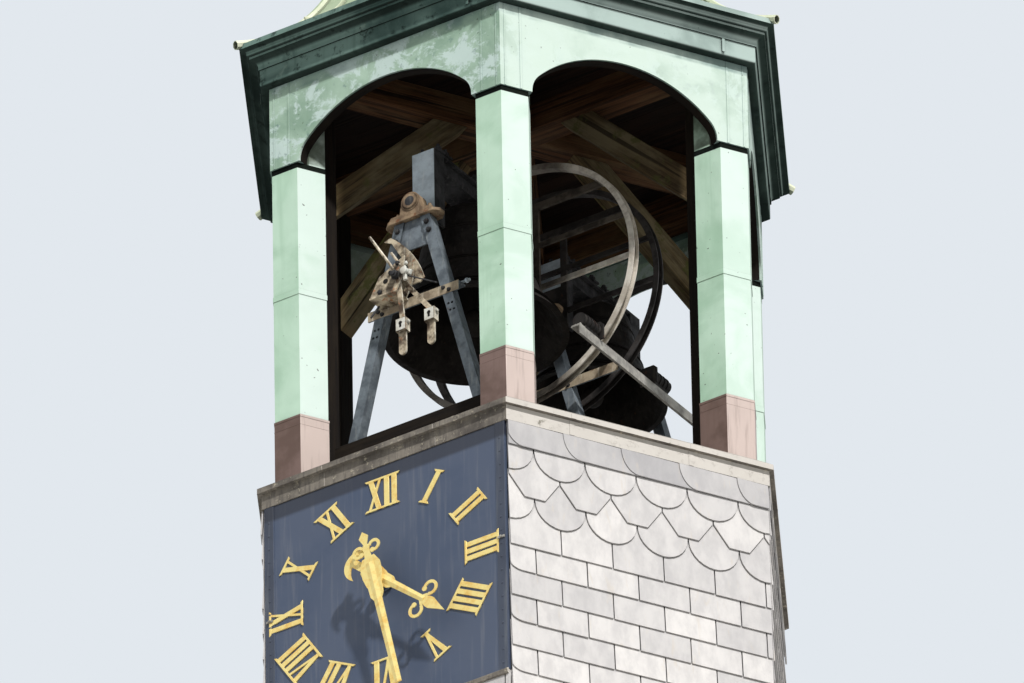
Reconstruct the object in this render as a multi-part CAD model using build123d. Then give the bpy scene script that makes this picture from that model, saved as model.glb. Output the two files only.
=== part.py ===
from build123d import *
import os
from math import asin, cos, radians, sin, sqrt, tan

# Six-sided ridge turret with an open belfry: millimetres, +Z up, the clock wall faces -Y.
# The origin is the centre of the foot, on the level that the walls run down to.

# Walls and sill
WALL_CORNER_R = 1585.0
WALL_THICK = 120.0
SILL_Z = 2100.0
BAND_CORNER_R = 1612.0
BAND_HEIGHT = 95.0
BAND_DEPTH = 313.0
CAP_CORNER_R = 1640.0
CAP_EDGE = 33.0
CAP_RISE = 70.0
CAP_DEPTH = 209.0
FLOOR_GAP = 2.0

# Clock wall: the panel is as wide as its wall, less a gap at each corner
PANEL_CORNER_GAP = 2.5
PANEL_THICK = 18.0
PANEL_BOTTOM_Z = 372.0
PANEL_FOLD_WIDTH = 62.0
PANEL_FOLD_DEPTH = 4.0
PANEL_TOP_GAP = 2.0
DIAL_Z = 1207.0
CLOCK_STANDOFF = 118.0
ARBOR_R = 10.0
PIPE_R = 16.0
BOSS_R = 34.0
BOSS_REACH = 72.0
BOSS_FLANGE_R = 58.0
BOSS_FLANGE = 14.0
RUNNING_GAP = 0.1
WALL_BORE_GAP = 14.0

# Clock hands: lengths from the arbor, half widths across the blade, angles clockwise from twelve
HAND_THICK = 6.0
HAND_GAP = 18.0
HOUR_ANGLE = 131.0
MINUTE_ANGLE = 168.0
MINUTE_LENGTH = 782.0
MINUTE_TAIL = 283.0
MINUTE_BAR = 27.0
MINUTE_TIP = 21.0
MINUTE_HUB = 64.0
MINUTE_HUB_LENGTH = 190.0
MINUTE_NECK = 17.0
MINUTE_LOZENGE = 30.0
MINUTE_LOZENGE_LENGTH = 92.0
MINUTE_LOZENGE_FOOT = 37.0
MINUTE_CURL_BACK = 164.0
MINUTE_CURL_OUT = 52.0
MINUTE_CURL_R = 30.0
HOUR_LENGTH = 600.0
HOUR_BAR = 24.0
HOUR_BAR_TIP = 18.0
HOUR_HUB = 58.0
HOUR_HUB_LENGTH = 160.0
HOUR_LEAF = 34.0
HOUR_LEAF_LENGTH = 176.0
HOUR_CURL_ALONG = 418.0
HOUR_CURL_OUT = 74.0
HOUR_CURL_R = 38.0
CURL_BAND = 18.0
CURL_BULB = 15.0
CRESCENT_R = 92.0
CRESCENT_BACK = 136.0
CRESCENT_THICK = 56.0
BLADE_RIDGE = 8.0
HUB_SHAPE = ((0.62, -0.55), (1.0, -0.26), (1.0, 0.10), (0.78, 0.44), (0.70, 0.49), (0.66, 0.84))
LEAF_LOW = (0.72, 0.16)
LEAF_WIDEST = 0.42
LEAF_HIGH = (0.42, 0.74)
CURL_GAP = ((0.0, 0.0), (-1.6, 0.55), (-1.6, -1.0), (-0.5, -1.6))
CURL_BULB_AT = (-0.55, -0.84)
CURL_STEM_AT = (-0.94, 0.34)

# Posts: a copper-clad leg on each corner with a timber core behind it
POST_CORNER_R = 1524.0
POST_FACE = 168.0
POST_JAMB = 172.0
CORE_COVER = 109.0
CORE_DEPTH = 255.0
CORE_WIDTH = 120.0

# Arched headers, measured from the posts and from the sill
HEADER_PROUD = 11.0
HEADER_FOOT = 2120.0
HEADER_HEIGHT = 542.0
HEADER_THICK = 70.0
ARCH_HALF_SPAN = 572.0
ARCH_RISE = 347.0
ARCH_CROWN_R = 725.0
ARCH_HAUNCH_R = 156.0

# Cornice, from the fascia up: each step out and each step up
FASCIA_OUT = 50.0
FASCIA_UP = 110.0
FASCIA_ROUND = 16.0
BEAD_OUT = 8.0
BEAD_UP = 12.0
COVE_OUT = 40.0
COVE_UP = 45.0
COVE_BEND = (0.29, 0.71)
LIP_OUT = 8.0
LIP_UP = 14.0
OGEE_OUT = 31.0
OGEE_UP = 35.0
OGEE_BEND = (0.36, 0.14)
EAVE_OUT = 22.0
EAVE_EDGE = 31.0

# Roof
ROOF_SHELL = 60.0
EAVE_ANGLE = 22.0
ROOF_ANGLE = 62.0
SWEEP_R = 890.0
HIP_ROLL_R = 27.0
HIP_ROLL_WALL = 4.0
HIP_ROLL_OVERHANG = 24.0
HIP_ROLL_OPEN = 52.0
HIP_ROLL_SIDES = 8
ROLL_STOP = 200.0
FINIAL_STEM_R = 32.0
FINIAL_TIP_R = 8.0
FINIAL_BALL_R = 130.0
FINIAL_BALL_UP = 190.0
FINIAL_HEIGHT = 620.0
FINIAL_SKIRT_R = 205.0
FINIAL_SKIRT = 330.0
FINIAL_NECK_R = 60.0
FINIAL_NECK_DROP = 20.0

# Timber inside the belfry, heights above the sill
TIMBER_TOP = 2900.0
PLATE_WIDTH = 120.0
PLATE_HEIGHT = 200.0
PLATE_GAP = 2.0
TIE_WIDTH = 160.0
TIE_HEIGHT = 180.0
CEILING_THICK = 30.0
BRACE_FOOT = 1890.0
BRACE_WIDTH = 110.0
BRACE_DEPTH = 150.0

# Bell frames, heights above the sill
AXLE_HEIGHT = 1760.0
BEAM_WIDTH = 160.0
BEAM_TOP = 310.0
BEAM_HALF_LENGTH = 500.0
FRAME_Y = (-1040.0, 150.0, 1210.0)
FRAME_DEPTH = 70.0
FRAME_FOOT_X = 418.0
FRAME_HEAD_X = 84.0
FRAME_WEB = 9.0
LEG_WIDTH = 62.0
FOOT_PLATE_HALF = 68.0
FOOT_PLATE_LIP = 10.0
FOOT_PLATE_THICK = 16.0
LEG_HOLE_R = 8.0
LEG_HOLE_PITCH = 46.0
LEG_HOLE_SIDE = 12.0
LEG_HOLES_DOWN = 70.0
CROSSBAR = 1080.0
CROSSBAR_HALF = 300.0
CROSSBAR_HEIGHT = 60.0
GUSSET_DROP = 190.0
HEAD_PLATE_HALF = 178.0
HEAD_PLATE_LIP = 20.0
HEAD_PLATE_THICK = 18.0
HEAD_PLATE_CORNER = 34.0
MIDDLE_SPLIT = 3.0
BLOCK_R = 60.0
BLOCK_WAIST_HALF = 75.0
BLOCK_BORE_RING_R = 44.0
BLOCK_SEAT = 92.0
BLOCK_FOOT_HALF = 146.0
BLOCK_FOOT_TOP_HALF = 128.0
BLOCK_FOOT = 26.0
BLOCK_FRONT = 60.0
BLOCK_BACK = 36.0
HALF_BLOCK_DEPTH = 32.0
BLOCK_RIM_SHARE = 0.1
JOURNAL_R = 30.0
RAIL_X = 600.0
RAIL_SIZE = 60.0
RAIL_TOP = 1110.0
RAIL_WALL = 8.0
RAIL_FRONT_Y = -360.0

# Drive motors on the right-hand rail
MOTOR_R = 48.0
MOTOR_LENGTH = 170.0
MOTOR_RISE = 58.0
MOTOR_FOOT = 130.0
MOTOR_FOOT_HALF = 28.0
MOTOR_FIN = 5.0
MOTOR_FINS = 4
MOTOR_PLATE_HALF = 56.0
MOTOR_PLATE_CLIP = 20.0
MOTOR_PLATE_THICK = 10.0
MOTOR_1_BACK = 240.0
MOTOR_2_AHEAD = 180.0

# Striking gear in front of the front frame: X from the pivot, heights above the crossbar's foot
GEAR_DEPTH = 125.0
GEAR_CHEEK = 10.0
GEAR_BACK_GAP = 30.0
GEAR_PIVOT = (-26.0, 140.0)
GEAR_PIVOT_R = 13.0
GEAR_OUTLINE = ((-181.0, 46.0), (-116.0, 172.0), (-64.0, 198.0), (54.0, 256.0), (40.0, 131.0), (-4.0, 46.0))
LEVER_WIDTH = 28.0
LEVER_THICK = 12.0
LEVER_ENDS = ((24.0, -228.0), (182.0, -192.0))
LEVER_GAP = 4.0
LEVER_SET = 46.0
HEAD_WIDTH = 66.0
HEAD_HEIGHT = 80.0
HEAD_DEPTH = 44.0
SHANK_WIDTH = 48.0
SHANK_LENGTH = 124.0
PULL_ROD_R = 8.0
PULL_ROD_LEAN = 30.0
PULL_RODS = ((-20.0, 52.0, 310.0), (26.0, 60.0, 120.0))
SICKLE_TIP = (-146.0, 330.0)
SICKLE_OUTER = ((-104.0, 344.0), (32.0, 193.0), (113.0, 10.0))
SICKLE_INNER = ((84.0, -16.0), (-12.0, 150.0), (-98.0, 306.0))
SICKLE_TAIL = (92.0, 4.0)

# Bells: centre along the axle, mouth radius, drop of the lip below the axle, height of the crown
BELL_1_Y = -450.0
BELL_1_R = 520.0
BELL_1_DROP = 540.0
BELL_1_CROWN = 71.0
BELL_2_Y = 730.0
BELL_2_R = 420.0
BELL_2_DROP = 390.0
BELL_2_CROWN = 30.0
CLAPPER_ROD_R = 18.0
YOKE_WIDTH = 150.0
YOKE_DEPTH = 95.0
YOKE_WEB = 14.0
YOKE_BEAM = 125.0
YOKE_FRONT_REACH = (500.0, 390.0)
YOKE_REAR_REACH = (420.0, 390.0)
CROWN_HALF = 62.0
CROWN_SEAT_HALF = 40.0
STRAP_WIDTH = 46.0
STRAP_THICK = 12.0
BOLT_R = 11.0
BOLT_UP = 60.0
BOLT_X = 52.0

# Swing wheels: a flanged rim on three level bars and two uprights
WHEEL_DEPTH = 50.0
WHEEL_1_Y = 2.0
WHEEL_1_R = 780.0
WHEEL_2_Y = 280.0
WHEEL_2_R = 760.0
WHEEL_RIM = 34.0
WHEEL_WALL = 7.0
WHEEL_BARS = ((500.0, 46.0), (240.0, 30.0), (-40.0, 30.0))
UPRIGHT_X = 120.0
UPRIGHT_WIDTH = 40.0
BAR_THICK = 16.0
HUB_HALF = 130.0

# Proportions of a bell as shares of its mouth radius: height and radius of the arcs' points
BELL_OUTER = (
    (0.0, 1.0),
    (0.32, 0.785),
    (0.66, 0.65),
    (0.98, 0.585),
    (1.26, 0.53),
    (1.40, 0.44),
    (1.44, 0.22),
)
BELL_INNER = (
    (1.33, 0.22),
    (1.29, 0.39),
    (1.20, 0.47),
    (0.96, 0.52),
    (0.62, 0.60),
    (0.32, 0.71),
    (0.10, 0.85),
)
BELL_LIP_INNER = 0.93
BELL_HEIGHT = BELL_OUTER[-1][0]
BELL_CROWN_UNDER = BELL_INNER[0][0]
CLAPPER_BALL = 0.15

HALF_TURN_COS = sqrt(3) / 2
CORNERS = {
    "right": 0,
    "back_right": 60,
    "back_left": 120,
    "left": 180,
    "front_left": 240,
    "front_right": 300,
}
SIDES = {
    "front": 270,
    "front_right": 330,
    "back_right": 30,
    "back": 90,
    "back_left": 150,
    "front_left": 210,
}


# Helpers

def apothem(corner_r):
    return corner_r * HALF_TURN_COS


def hexagon(corner_r, z, height):
    """A six-sided prism with a corner on +X."""
    return Pos(0, 0, z) * extrude(RegularPolygon(corner_r, 6), height)


def sector(angle, reach=4000.0, depth=12000.0):
    """The wedge of plan between two corners, centred on a side's direction."""
    half = reach * tan(radians(30))
    wedge = Polyline((0, 0), (reach, -half), (reach, half), close=True)
    return Rot(0, 0, angle) * Pos(0, 0, -depth / 2) * extrude(make_face(wedge), depth * 1.5)


def box_at(x0, x1, y0, y1, z0, z1):
    return Pos((x0 + x1) / 2, (y0 + y1) / 2, (z0 + z1) / 2) * Box(x1 - x0, y1 - y0, z1 - z0)


def upright(sketch, y0, y1):
    """A sketch drawn in X and Y, stood up in X and Z and extruded from y0 to y1."""
    return Pos(0, y1, 0) * Rot(90, 0, 0) * extrude(sketch, y1 - y0)


def outline(*points):
    return make_face(Polyline(*points, close=True))


def rod_y(x, z, radius, y0, y1):
    return Pos(x, (y0 + y1) / 2, z) * Rot(90, 0, 0) * Cylinder(radius, y1 - y0)


def bar(x0, z0, x1, z1, width):
    """The face of a straight bar of one width between two points of X and Z."""
    length = sqrt((x1 - x0) ** 2 + (z1 - z0) ** 2)
    nx = -(z1 - z0) / length * width / 2
    nz = (x1 - x0) / length * width / 2
    return outline((x0 + nx, z0 + nz), (x1 + nx, z1 + nz), (x1 - nx, z1 - nz), (x0 - nx, z0 - nz))


def around(solid):
    return Compound(children=[Rot(0, 0, angle) * solid for angle in CORNERS.values()])


def arcs(points):
    """Arcs end to end, each through the three next points."""
    return [ThreePointArc(*points[start:start + 3]) for start in range(0, len(points) - 2, 2)]


# Base walls and clock panel

BAND_TOP_Z = SILL_Z - CAP_EDGE
WALL_TOP_Z = BAND_TOP_Z - BAND_HEIGHT
WALL_FACE = apothem(WALL_CORNER_R)


def base_walls():
    ring = hexagon(WALL_CORNER_R, 0, WALL_TOP_Z)
    ring -= hexagon(WALL_CORNER_R - WALL_THICK / HALF_TURN_COS, 0, WALL_TOP_Z)
    walls = {f"base_wall_{name}": ring & sector(angle) for name, angle in SIDES.items()}
    bore = rod_y(0, DIAL_Z, PIPE_R + WALL_BORE_GAP, -WALL_FACE - 1, -WALL_FACE + WALL_THICK + 1)
    walls["base_wall_front"] -= bore
    return walls


PANEL_HALF = WALL_CORNER_R / 2 - PANEL_CORNER_GAP
PANEL_Y = -WALL_FACE - PANEL_THICK
HOUR_Y = PANEL_Y - CLOCK_STANDOFF
MINUTE_Y = HOUR_Y - HAND_THICK - HAND_GAP


def clock_panel():
    """The dial's sheet, with a riveted fold down each side."""
    top = WALL_TOP_Z - PANEL_TOP_GAP
    sheet = box_at(-PANEL_HALF, PANEL_HALF, PANEL_Y, -WALL_FACE, PANEL_BOTTOM_Z, top)
    inner = PANEL_HALF - PANEL_FOLD_WIDTH
    for x0, x1 in ((-PANEL_HALF, -inner), (inner, PANEL_HALF)):
        sheet += box_at(x0, x1, PANEL_Y - PANEL_FOLD_DEPTH, PANEL_Y, PANEL_BOTTOM_Z, top)
    return sheet - rod_y(0, DIAL_Z, PIPE_R + RUNNING_GAP, PANEL_Y - 1, -WALL_FACE + 1)


def clock_boss():
    """The fixed bearing that the hour pipe turns in."""
    boss = rod_y(0, DIAL_Z, BOSS_R, PANEL_Y - BOSS_REACH, PANEL_Y)
    boss += rod_y(0, DIAL_Z, BOSS_FLANGE_R, PANEL_Y - BOSS_FLANGE, PANEL_Y)
    return boss - rod_y(0, DIAL_Z, PIPE_R + RUNNING_GAP, PANEL_Y - BOSS_REACH - 1, PANEL_Y + 1)


# Clock hands, drawn at twelve o'clock with X across the blade and Y along it

def curl(side, out, along, radius):
    """A flat C-shaped scroll beside the blade, open towards it, with a bulb at its end."""
    far = radius + CURL_BAND
    ring = Circle(radius + CURL_BAND / 2) - Circle(radius - CURL_BAND / 2)
    gap = outline(*((side * far * x, far * y) for x, y in CURL_GAP))
    bulb = Pos(side * radius * CURL_BULB_AT[0], radius * CURL_BULB_AT[1]) * Circle(CURL_BULB)
    stem_x = side * (out + radius * CURL_STEM_AT[0])
    stem_y = along + radius * CURL_STEM_AT[1]
    stem = outline(
        (0, along - radius),
        (stem_x, stem_y - CURL_BAND / 2),
        (stem_x, stem_y + CURL_BAND / 2),
        (0, along),
    )
    return Pos(side * out, along) * (ring - gap + bulb) + stem


def leaf(foot, length, half):
    """A pointed leaf along the blade, fullest near its foot and hollow towards its tip."""
    tip = (0, foot + length)
    wide = foot + length * LEAF_WIDEST
    low_x = half * LEAF_LOW[0]
    low_y = foot + length * LEAF_LOW[1]
    high_x = half * LEAF_HIGH[0]
    high_y = foot + length * LEAF_HIGH[1]
    lines = [
        ThreePointArc((0, foot), (low_x, low_y), (half, wide)),
        ThreePointArc((half, wide), (high_x, high_y), tip),
        ThreePointArc(tip, (-high_x, high_y), (-half, wide)),
        ThreePointArc((-half, wide), (-low_x, low_y), (0, foot)),
    ]
    return make_face(Wire(lines))


def hub(half, length, bar_half):
    """A stepped baluster around the arbor that narrows to the bar's width."""
    right = [(half * x, length * y) for x, y in HUB_SHAPE] + [(bar_half, length)]
    left = [(-x, y) for x, y in reversed(right)]
    return outline(*right, *left)


def ridge(half_0, along_0, half_1, along_1):
    """A low ridge down the front of a blade, three-sided and tapered."""
    sections = []
    for half, along in ((half_0, along_0), (half_1, along_1)):
        height = BLADE_RIDGE * half / half_0
        sections.append(Pos(0, 0, along) * outline((-half, 0), (half, 0), (0, -height)))
    return loft(sections)


def hand_turn(angle, solid):
    """Turns a hand to a clockwise angle about the dial's centre."""
    return Pos(0, 0, DIAL_Z) * Rot(0, angle, 0) * solid


def minute_hand():
    notch = -MINUTE_TAIL + MINUTE_LOZENGE_LENGTH
    widest = -MINUTE_TAIL + MINUTE_LOZENGE_FOOT
    curl_line = Plane.XZ.offset(MINUTE_CURL_BACK)
    flat = hub(MINUTE_HUB, MINUTE_HUB_LENGTH, MINUTE_BAR)
    flat += outline(
        (-MINUTE_BAR, 0), (-MINUTE_TIP, MINUTE_LENGTH), (MINUTE_TIP, MINUTE_LENGTH), (MINUTE_BAR, 0)
    )
    flat += outline((-MINUTE_BAR, 0), (MINUTE_BAR, 0), (MINUTE_NECK, notch), (-MINUTE_NECK, notch))
    flat += outline(
        (0, notch + MINUTE_BAR), (MINUTE_LOZENGE, widest), (0, -MINUTE_TAIL), (-MINUTE_LOZENGE, widest)
    )
    for side in (-1, 1):
        flat += curl(side, MINUTE_CURL_OUT, -MINUTE_CURL_BACK, MINUTE_CURL_R).mirror(curl_line)
    hand = upright(flat, MINUTE_Y, MINUTE_Y + HAND_THICK)
    hand += Pos(0, MINUTE_Y, 0) * ridge(MINUTE_BAR, -MINUTE_HUB, MINUTE_TIP, MINUTE_LENGTH)
    hand += rod_y(0, 0, ARBOR_R, MINUTE_Y, PANEL_Y + PANEL_THICK)
    return hand_turn(MINUTE_ANGLE, hand)


def hour_hand():
    leaf_foot = HOUR_LENGTH - HOUR_LEAF_LENGTH
    flat = hub(HOUR_HUB, HOUR_HUB_LENGTH, HOUR_BAR)
    flat += outline((-HOUR_BAR, 0), (-HOUR_BAR_TIP, leaf_foot), (HOUR_BAR_TIP, leaf_foot), (HOUR_BAR, 0))
    flat += leaf(leaf_foot - HOUR_BAR, HOUR_LEAF_LENGTH + HOUR_BAR, HOUR_LEAF)
    for side in (-1, 1):
        flat += curl(side, HOUR_CURL_OUT, HOUR_CURL_ALONG, HOUR_CURL_R)
    bite = Pos(0, -CRESCENT_BACK + CRESCENT_THICK) * Circle(CRESCENT_R)
    flat += Pos(0, -CRESCENT_BACK) * Circle(CRESCENT_R) - bite
    neck = -CRESCENT_BACK - CRESCENT_R + CRESCENT_THICK / 2
    flat += outline((-HOUR_BAR, 0), (HOUR_BAR, 0), (HOUR_BAR, neck), (-HOUR_BAR, neck))
    hand = upright(flat, HOUR_Y, HOUR_Y + HAND_THICK)
    hand += Pos(0, HOUR_Y, 0) * ridge(HOUR_BAR, HOUR_HUB, HOUR_BAR_TIP, leaf_foot)
    hand += rod_y(0, 0, PIPE_R, HOUR_Y, -WALL_FACE + 1)
    hand -= rod_y(0, 0, ARBOR_R + RUNNING_GAP, HOUR_Y - BLADE_RIDGE - 1, -WALL_FACE + 2)
    return hand_turn(HOUR_ANGLE, hand)


# Sill and floor: the cap slopes up to the posts, which stand on it and on the floor

CAP_INNER_R = POST_CORNER_R + HEADER_PROUD - CAP_DEPTH
DECK_Z = SILL_Z + CAP_RISE


def sill_band():
    ring = hexagon(BAND_CORNER_R, WALL_TOP_Z, BAND_HEIGHT)
    return ring - hexagon(BAND_CORNER_R - BAND_DEPTH, WALL_TOP_Z, BAND_HEIGHT)


def sill_cap():
    edge = hexagon(CAP_CORNER_R, BAND_TOP_Z, CAP_EDGE)
    slope = loft([
        Pos(0, 0, SILL_Z) * RegularPolygon(CAP_CORNER_R, 6).face(),
        Pos(0, 0, DECK_Z) * RegularPolygon(POST_CORNER_R + HEADER_PROUD, 6).face(),
    ])
    ring = edge + slope
    return ring - hexagon(CAP_INNER_R, BAND_TOP_Z, CAP_EDGE + CAP_RISE)


def belfry_floor():
    return hexagon(CAP_INNER_R - FLOOR_GAP, BAND_TOP_Z, CAP_EDGE + CAP_RISE)


# Posts and headers

HEADER_CORNER_R = POST_CORNER_R + HEADER_PROUD
HEADER_BOTTOM_Z = SILL_Z + HEADER_FOOT
HEADER_TOP_Z = HEADER_BOTTOM_Z + HEADER_HEIGHT
FRIEZE_FACE = apothem(HEADER_CORNER_R)
HEADER_INNER_FACE = FRIEZE_FACE - HEADER_THICK
TIMBER_TOP_Z = SILL_Z + TIMBER_TOP
PLATE_BOTTOM_Z = TIMBER_TOP_Z - PLATE_HEIGHT
CORE_OUTER_R = POST_CORNER_R - CORE_COVER
CORE_INNER_R = CORE_OUTER_R - CORE_DEPTH


def post():
    """The post on the +X corner: a clad leg, narrower behind the headers, and its timber core."""
    reach = POST_FACE * sin(radians(60))
    back = POST_CORNER_R - POST_FACE * cos(radians(60))
    plan = outline(
        (POST_CORNER_R, 0),
        (back, reach),
        (back - POST_JAMB, reach),
        (back - POST_JAMB, -reach),
        (back, -reach),
    )
    clad = Pos(0, 0, DECK_Z) * extrude(plan, HEADER_BOTTOM_Z - DECK_Z)
    behind = hexagon(PLATE_FACE / HALF_TURN_COS, DECK_Z, PLATE_BOTTOM_Z - DECK_Z)
    clad += Pos(0, 0, DECK_Z) * extrude(plan, PLATE_BOTTOM_Z - DECK_Z) & behind
    half = CORE_WIDTH / 2
    return clad + box_at(CORE_INNER_R, CORE_OUTER_R, -half, half, DECK_Z, PLATE_BOTTOM_Z)


def posts():
    return {f"post_{name}": Rot(0, 0, angle) * post() for name, angle in CORNERS.items()}


def arch_face():
    """A three-centred arch from its foot line up: jambs, tight haunches and a flatter crown."""
    haunch_x = ARCH_HALF_SPAN - ARCH_HAUNCH_R
    lean = asin(haunch_x / (ARCH_CROWN_R - ARCH_HAUNCH_R))
    spring = ARCH_RISE - ARCH_CROWN_R + (ARCH_CROWN_R - ARCH_HAUNCH_R) * cos(lean)
    meet = (haunch_x + ARCH_HAUNCH_R * sin(lean), spring + ARCH_HAUNCH_R * cos(lean))
    half_lean = (radians(90) + lean) / 2
    bend = (haunch_x + ARCH_HAUNCH_R * sin(half_lean), spring + ARCH_HAUNCH_R * cos(half_lean))
    below = -HEADER_THICK
    lines = [
        Line((-ARCH_HALF_SPAN, below), (ARCH_HALF_SPAN, below)),
        Line((ARCH_HALF_SPAN, below), (ARCH_HALF_SPAN, spring)),
        ThreePointArc((ARCH_HALF_SPAN, spring), bend, meet),
        ThreePointArc(meet, (0, ARCH_RISE), (-meet[0], meet[1])),
        ThreePointArc((-meet[0], meet[1]), (-bend[0], bend[1]), (-ARCH_HALF_SPAN, spring)),
        Line((-ARCH_HALF_SPAN, spring), (-ARCH_HALF_SPAN, below)),
    ]
    return make_face(Wire(lines))


def headers():
    """The six arched panels between the posts' heads."""
    ring = hexagon(HEADER_CORNER_R, HEADER_BOTTOM_Z, HEADER_HEIGHT)
    ring -= hexagon(HEADER_INNER_FACE / HALF_TURN_COS, HEADER_BOTTOM_Z, HEADER_HEIGHT)
    opening = upright(arch_face(), -FRIEZE_FACE - HEADER_THICK, -HEADER_INNER_FACE + HEADER_THICK)
    opening = Pos(0, 0, HEADER_BOTTOM_Z) * opening
    arches = {}
    for name, angle in SIDES.items():
        arches[f"arch_{name}"] = (ring & sector(angle)) - Rot(0, 0, angle - SIDES["front"]) * opening
    return arches


# Cornice and roof

CORNICE_OUT = FASCIA_OUT + BEAD_OUT + COVE_OUT + LIP_OUT + OGEE_OUT + EAVE_OUT
CORNICE_UP = FASCIA_UP + BEAD_UP + COVE_UP + LIP_UP + OGEE_UP + EAVE_EDGE
EAVE_FACE = FRIEZE_FACE + CORNICE_OUT
EAVE_Z = HEADER_TOP_Z + CORNICE_UP


def sweep_hexagon(profile_face, half_run=2500.0):
    """One moulded profile in X and Z run along each of the six sides and mitred."""
    piece = extrude(profile_face, half_run, dir=(0, 1, 0), both=True) & sector(0)
    ring = None
    for angle in SIDES.values():
        side = Rot(0, 0, angle) * piece
        ring = side if ring is None else ring + side
    return ring


def cornice():
    """Fascia with a rounded foot, bead, cove, lip, ogee and the flat eave over them."""
    x = FRIEZE_FACE + FASCIA_OUT
    z = HEADER_TOP_Z
    soft = FASCIA_ROUND * (1 - sqrt(0.5))
    bead_z = z + FASCIA_UP
    cove_x = x + BEAD_OUT
    cove_z = bead_z + BEAD_UP
    lip_z = cove_z + COVE_UP
    ogee_x = cove_x + COVE_OUT + LIP_OUT
    ogee_z = lip_z + LIP_UP
    ogee_mid = (ogee_x + OGEE_OUT / 2, 0, ogee_z + OGEE_UP / 2)
    bend_x = OGEE_OUT * OGEE_BEND[0]
    bend_z = OGEE_UP * OGEE_BEND[1]
    eave_x = ogee_x + OGEE_OUT
    eave_z = ogee_z + OGEE_UP
    lines = [
        Line((HEADER_INNER_FACE, 0, z), (x - FASCIA_ROUND, 0, z)),
        ThreePointArc((x - FASCIA_ROUND, 0, z), (x - soft, 0, z + soft), (x, 0, z + FASCIA_ROUND)),
        Line((x, 0, z + FASCIA_ROUND), (x, 0, bead_z)),
        Line((x, 0, bead_z), (cove_x, 0, bead_z)),
        Line((cove_x, 0, bead_z), (cove_x, 0, cove_z)),
        ThreePointArc(
            (cove_x, 0, cove_z),
            (cove_x + COVE_OUT * COVE_BEND[0], 0, cove_z + COVE_UP * COVE_BEND[1]),
            (cove_x + COVE_OUT, 0, lip_z),
        ),
        Line((cove_x + COVE_OUT, 0, lip_z), (ogee_x, 0, lip_z)),
        Line((ogee_x, 0, lip_z), (ogee_x, 0, ogee_z)),
        ThreePointArc((ogee_x, 0, ogee_z), (ogee_x + bend_x, 0, ogee_z + bend_z), ogee_mid),
        ThreePointArc(ogee_mid, (eave_x - bend_x, 0, eave_z - bend_z), (eave_x, 0, eave_z)),
        Line((eave_x, 0, eave_z), (EAVE_FACE, 0, eave_z)),
        Line((EAVE_FACE, 0, eave_z), (EAVE_FACE, 0, EAVE_Z)),
        Line((EAVE_FACE, 0, EAVE_Z), (HEADER_INNER_FACE, 0, EAVE_Z)),
        Line((HEADER_INNER_FACE, 0, EAVE_Z), (HEADER_INNER_FACE, 0, z)),
    ]
    return sweep_hexagon(make_face(Wire(lines)))


SWEEP_OUT = SWEEP_R * (sin(radians(ROOF_ANGLE)) - sin(radians(EAVE_ANGLE)))
SWEEP_UP = SWEEP_R * (cos(radians(EAVE_ANGLE)) - cos(radians(ROOF_ANGLE)))
ROOF_RUN = EAVE_FACE - SWEEP_OUT
APEX_Z = EAVE_Z + SWEEP_UP + ROOF_RUN * tan(radians(ROOF_ANGLE))


def roof_line(inset, drop):
    """The roof's slope line in X and Z from eave to apex, moved in and down."""
    middle = (EAVE_ANGLE + ROOF_ANGLE) / 2
    mid_out = SWEEP_R * (sin(radians(middle)) - sin(radians(EAVE_ANGLE)))
    mid_up = SWEEP_R * (cos(radians(EAVE_ANGLE)) - cos(radians(middle)))
    eave = (EAVE_FACE - inset, 0, EAVE_Z - drop)
    mid = (EAVE_FACE - inset - mid_out, 0, EAVE_Z - drop + mid_up)
    top = (ROOF_RUN - inset, 0, EAVE_Z - drop + SWEEP_UP)
    return eave, mid, top


def roof_solid(inset, drop):
    eave, mid, top = roof_line(inset, drop)
    apex = (0, 0, top[2] + top[0] * tan(radians(ROOF_ANGLE)))
    foot = (0, 0, EAVE_Z - drop)
    lines = [ThreePointArc(eave, mid, top), Line(top, apex), Line(apex, foot), Line(foot, eave)]
    return sweep_hexagon(make_face(Wire(lines)))


def roof_shell():
    return roof_solid(0, 0) - roof_solid(ROOF_SHELL * 2, 1)


def hip_rolls():
    """Hollow rolls over the six hips, from past the eave corners to under the finial."""
    scale = 1 / HALF_TURN_COS
    eave, mid, top = roof_line(0, 0)
    end_z = top[2] + (top[0] - ROLL_STOP) * tan(radians(ROOF_ANGLE))
    points = [(p[0] * scale, 0, p[2]) for p in (eave, mid, top)]
    arc = ThreePointArc(*points)
    out = arc @ 0 - arc % 0 * HIP_ROLL_OVERHANG
    path = Wire([Line(out, arc @ 0), arc, Line(points[2], (ROLL_STOP * scale, 0, end_z))])
    mouth = Plane(origin=out, z_dir=arc % 0)
    roll = sweep(mouth * RegularPolygon(HIP_ROLL_R, HIP_ROLL_SIDES), path=path) - roof_solid(0, 0)
    roll -= hexagon(EAVE_FACE * scale + 1, EAVE_Z - HIP_ROLL_OVERHANG * 4, HIP_ROLL_OVERHANG * 4)
    bore = extrude(mouth * RegularPolygon(HIP_ROLL_R - HIP_ROLL_WALL, HIP_ROLL_SIDES), HIP_ROLL_OPEN)
    return around(roll - bore)


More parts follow.
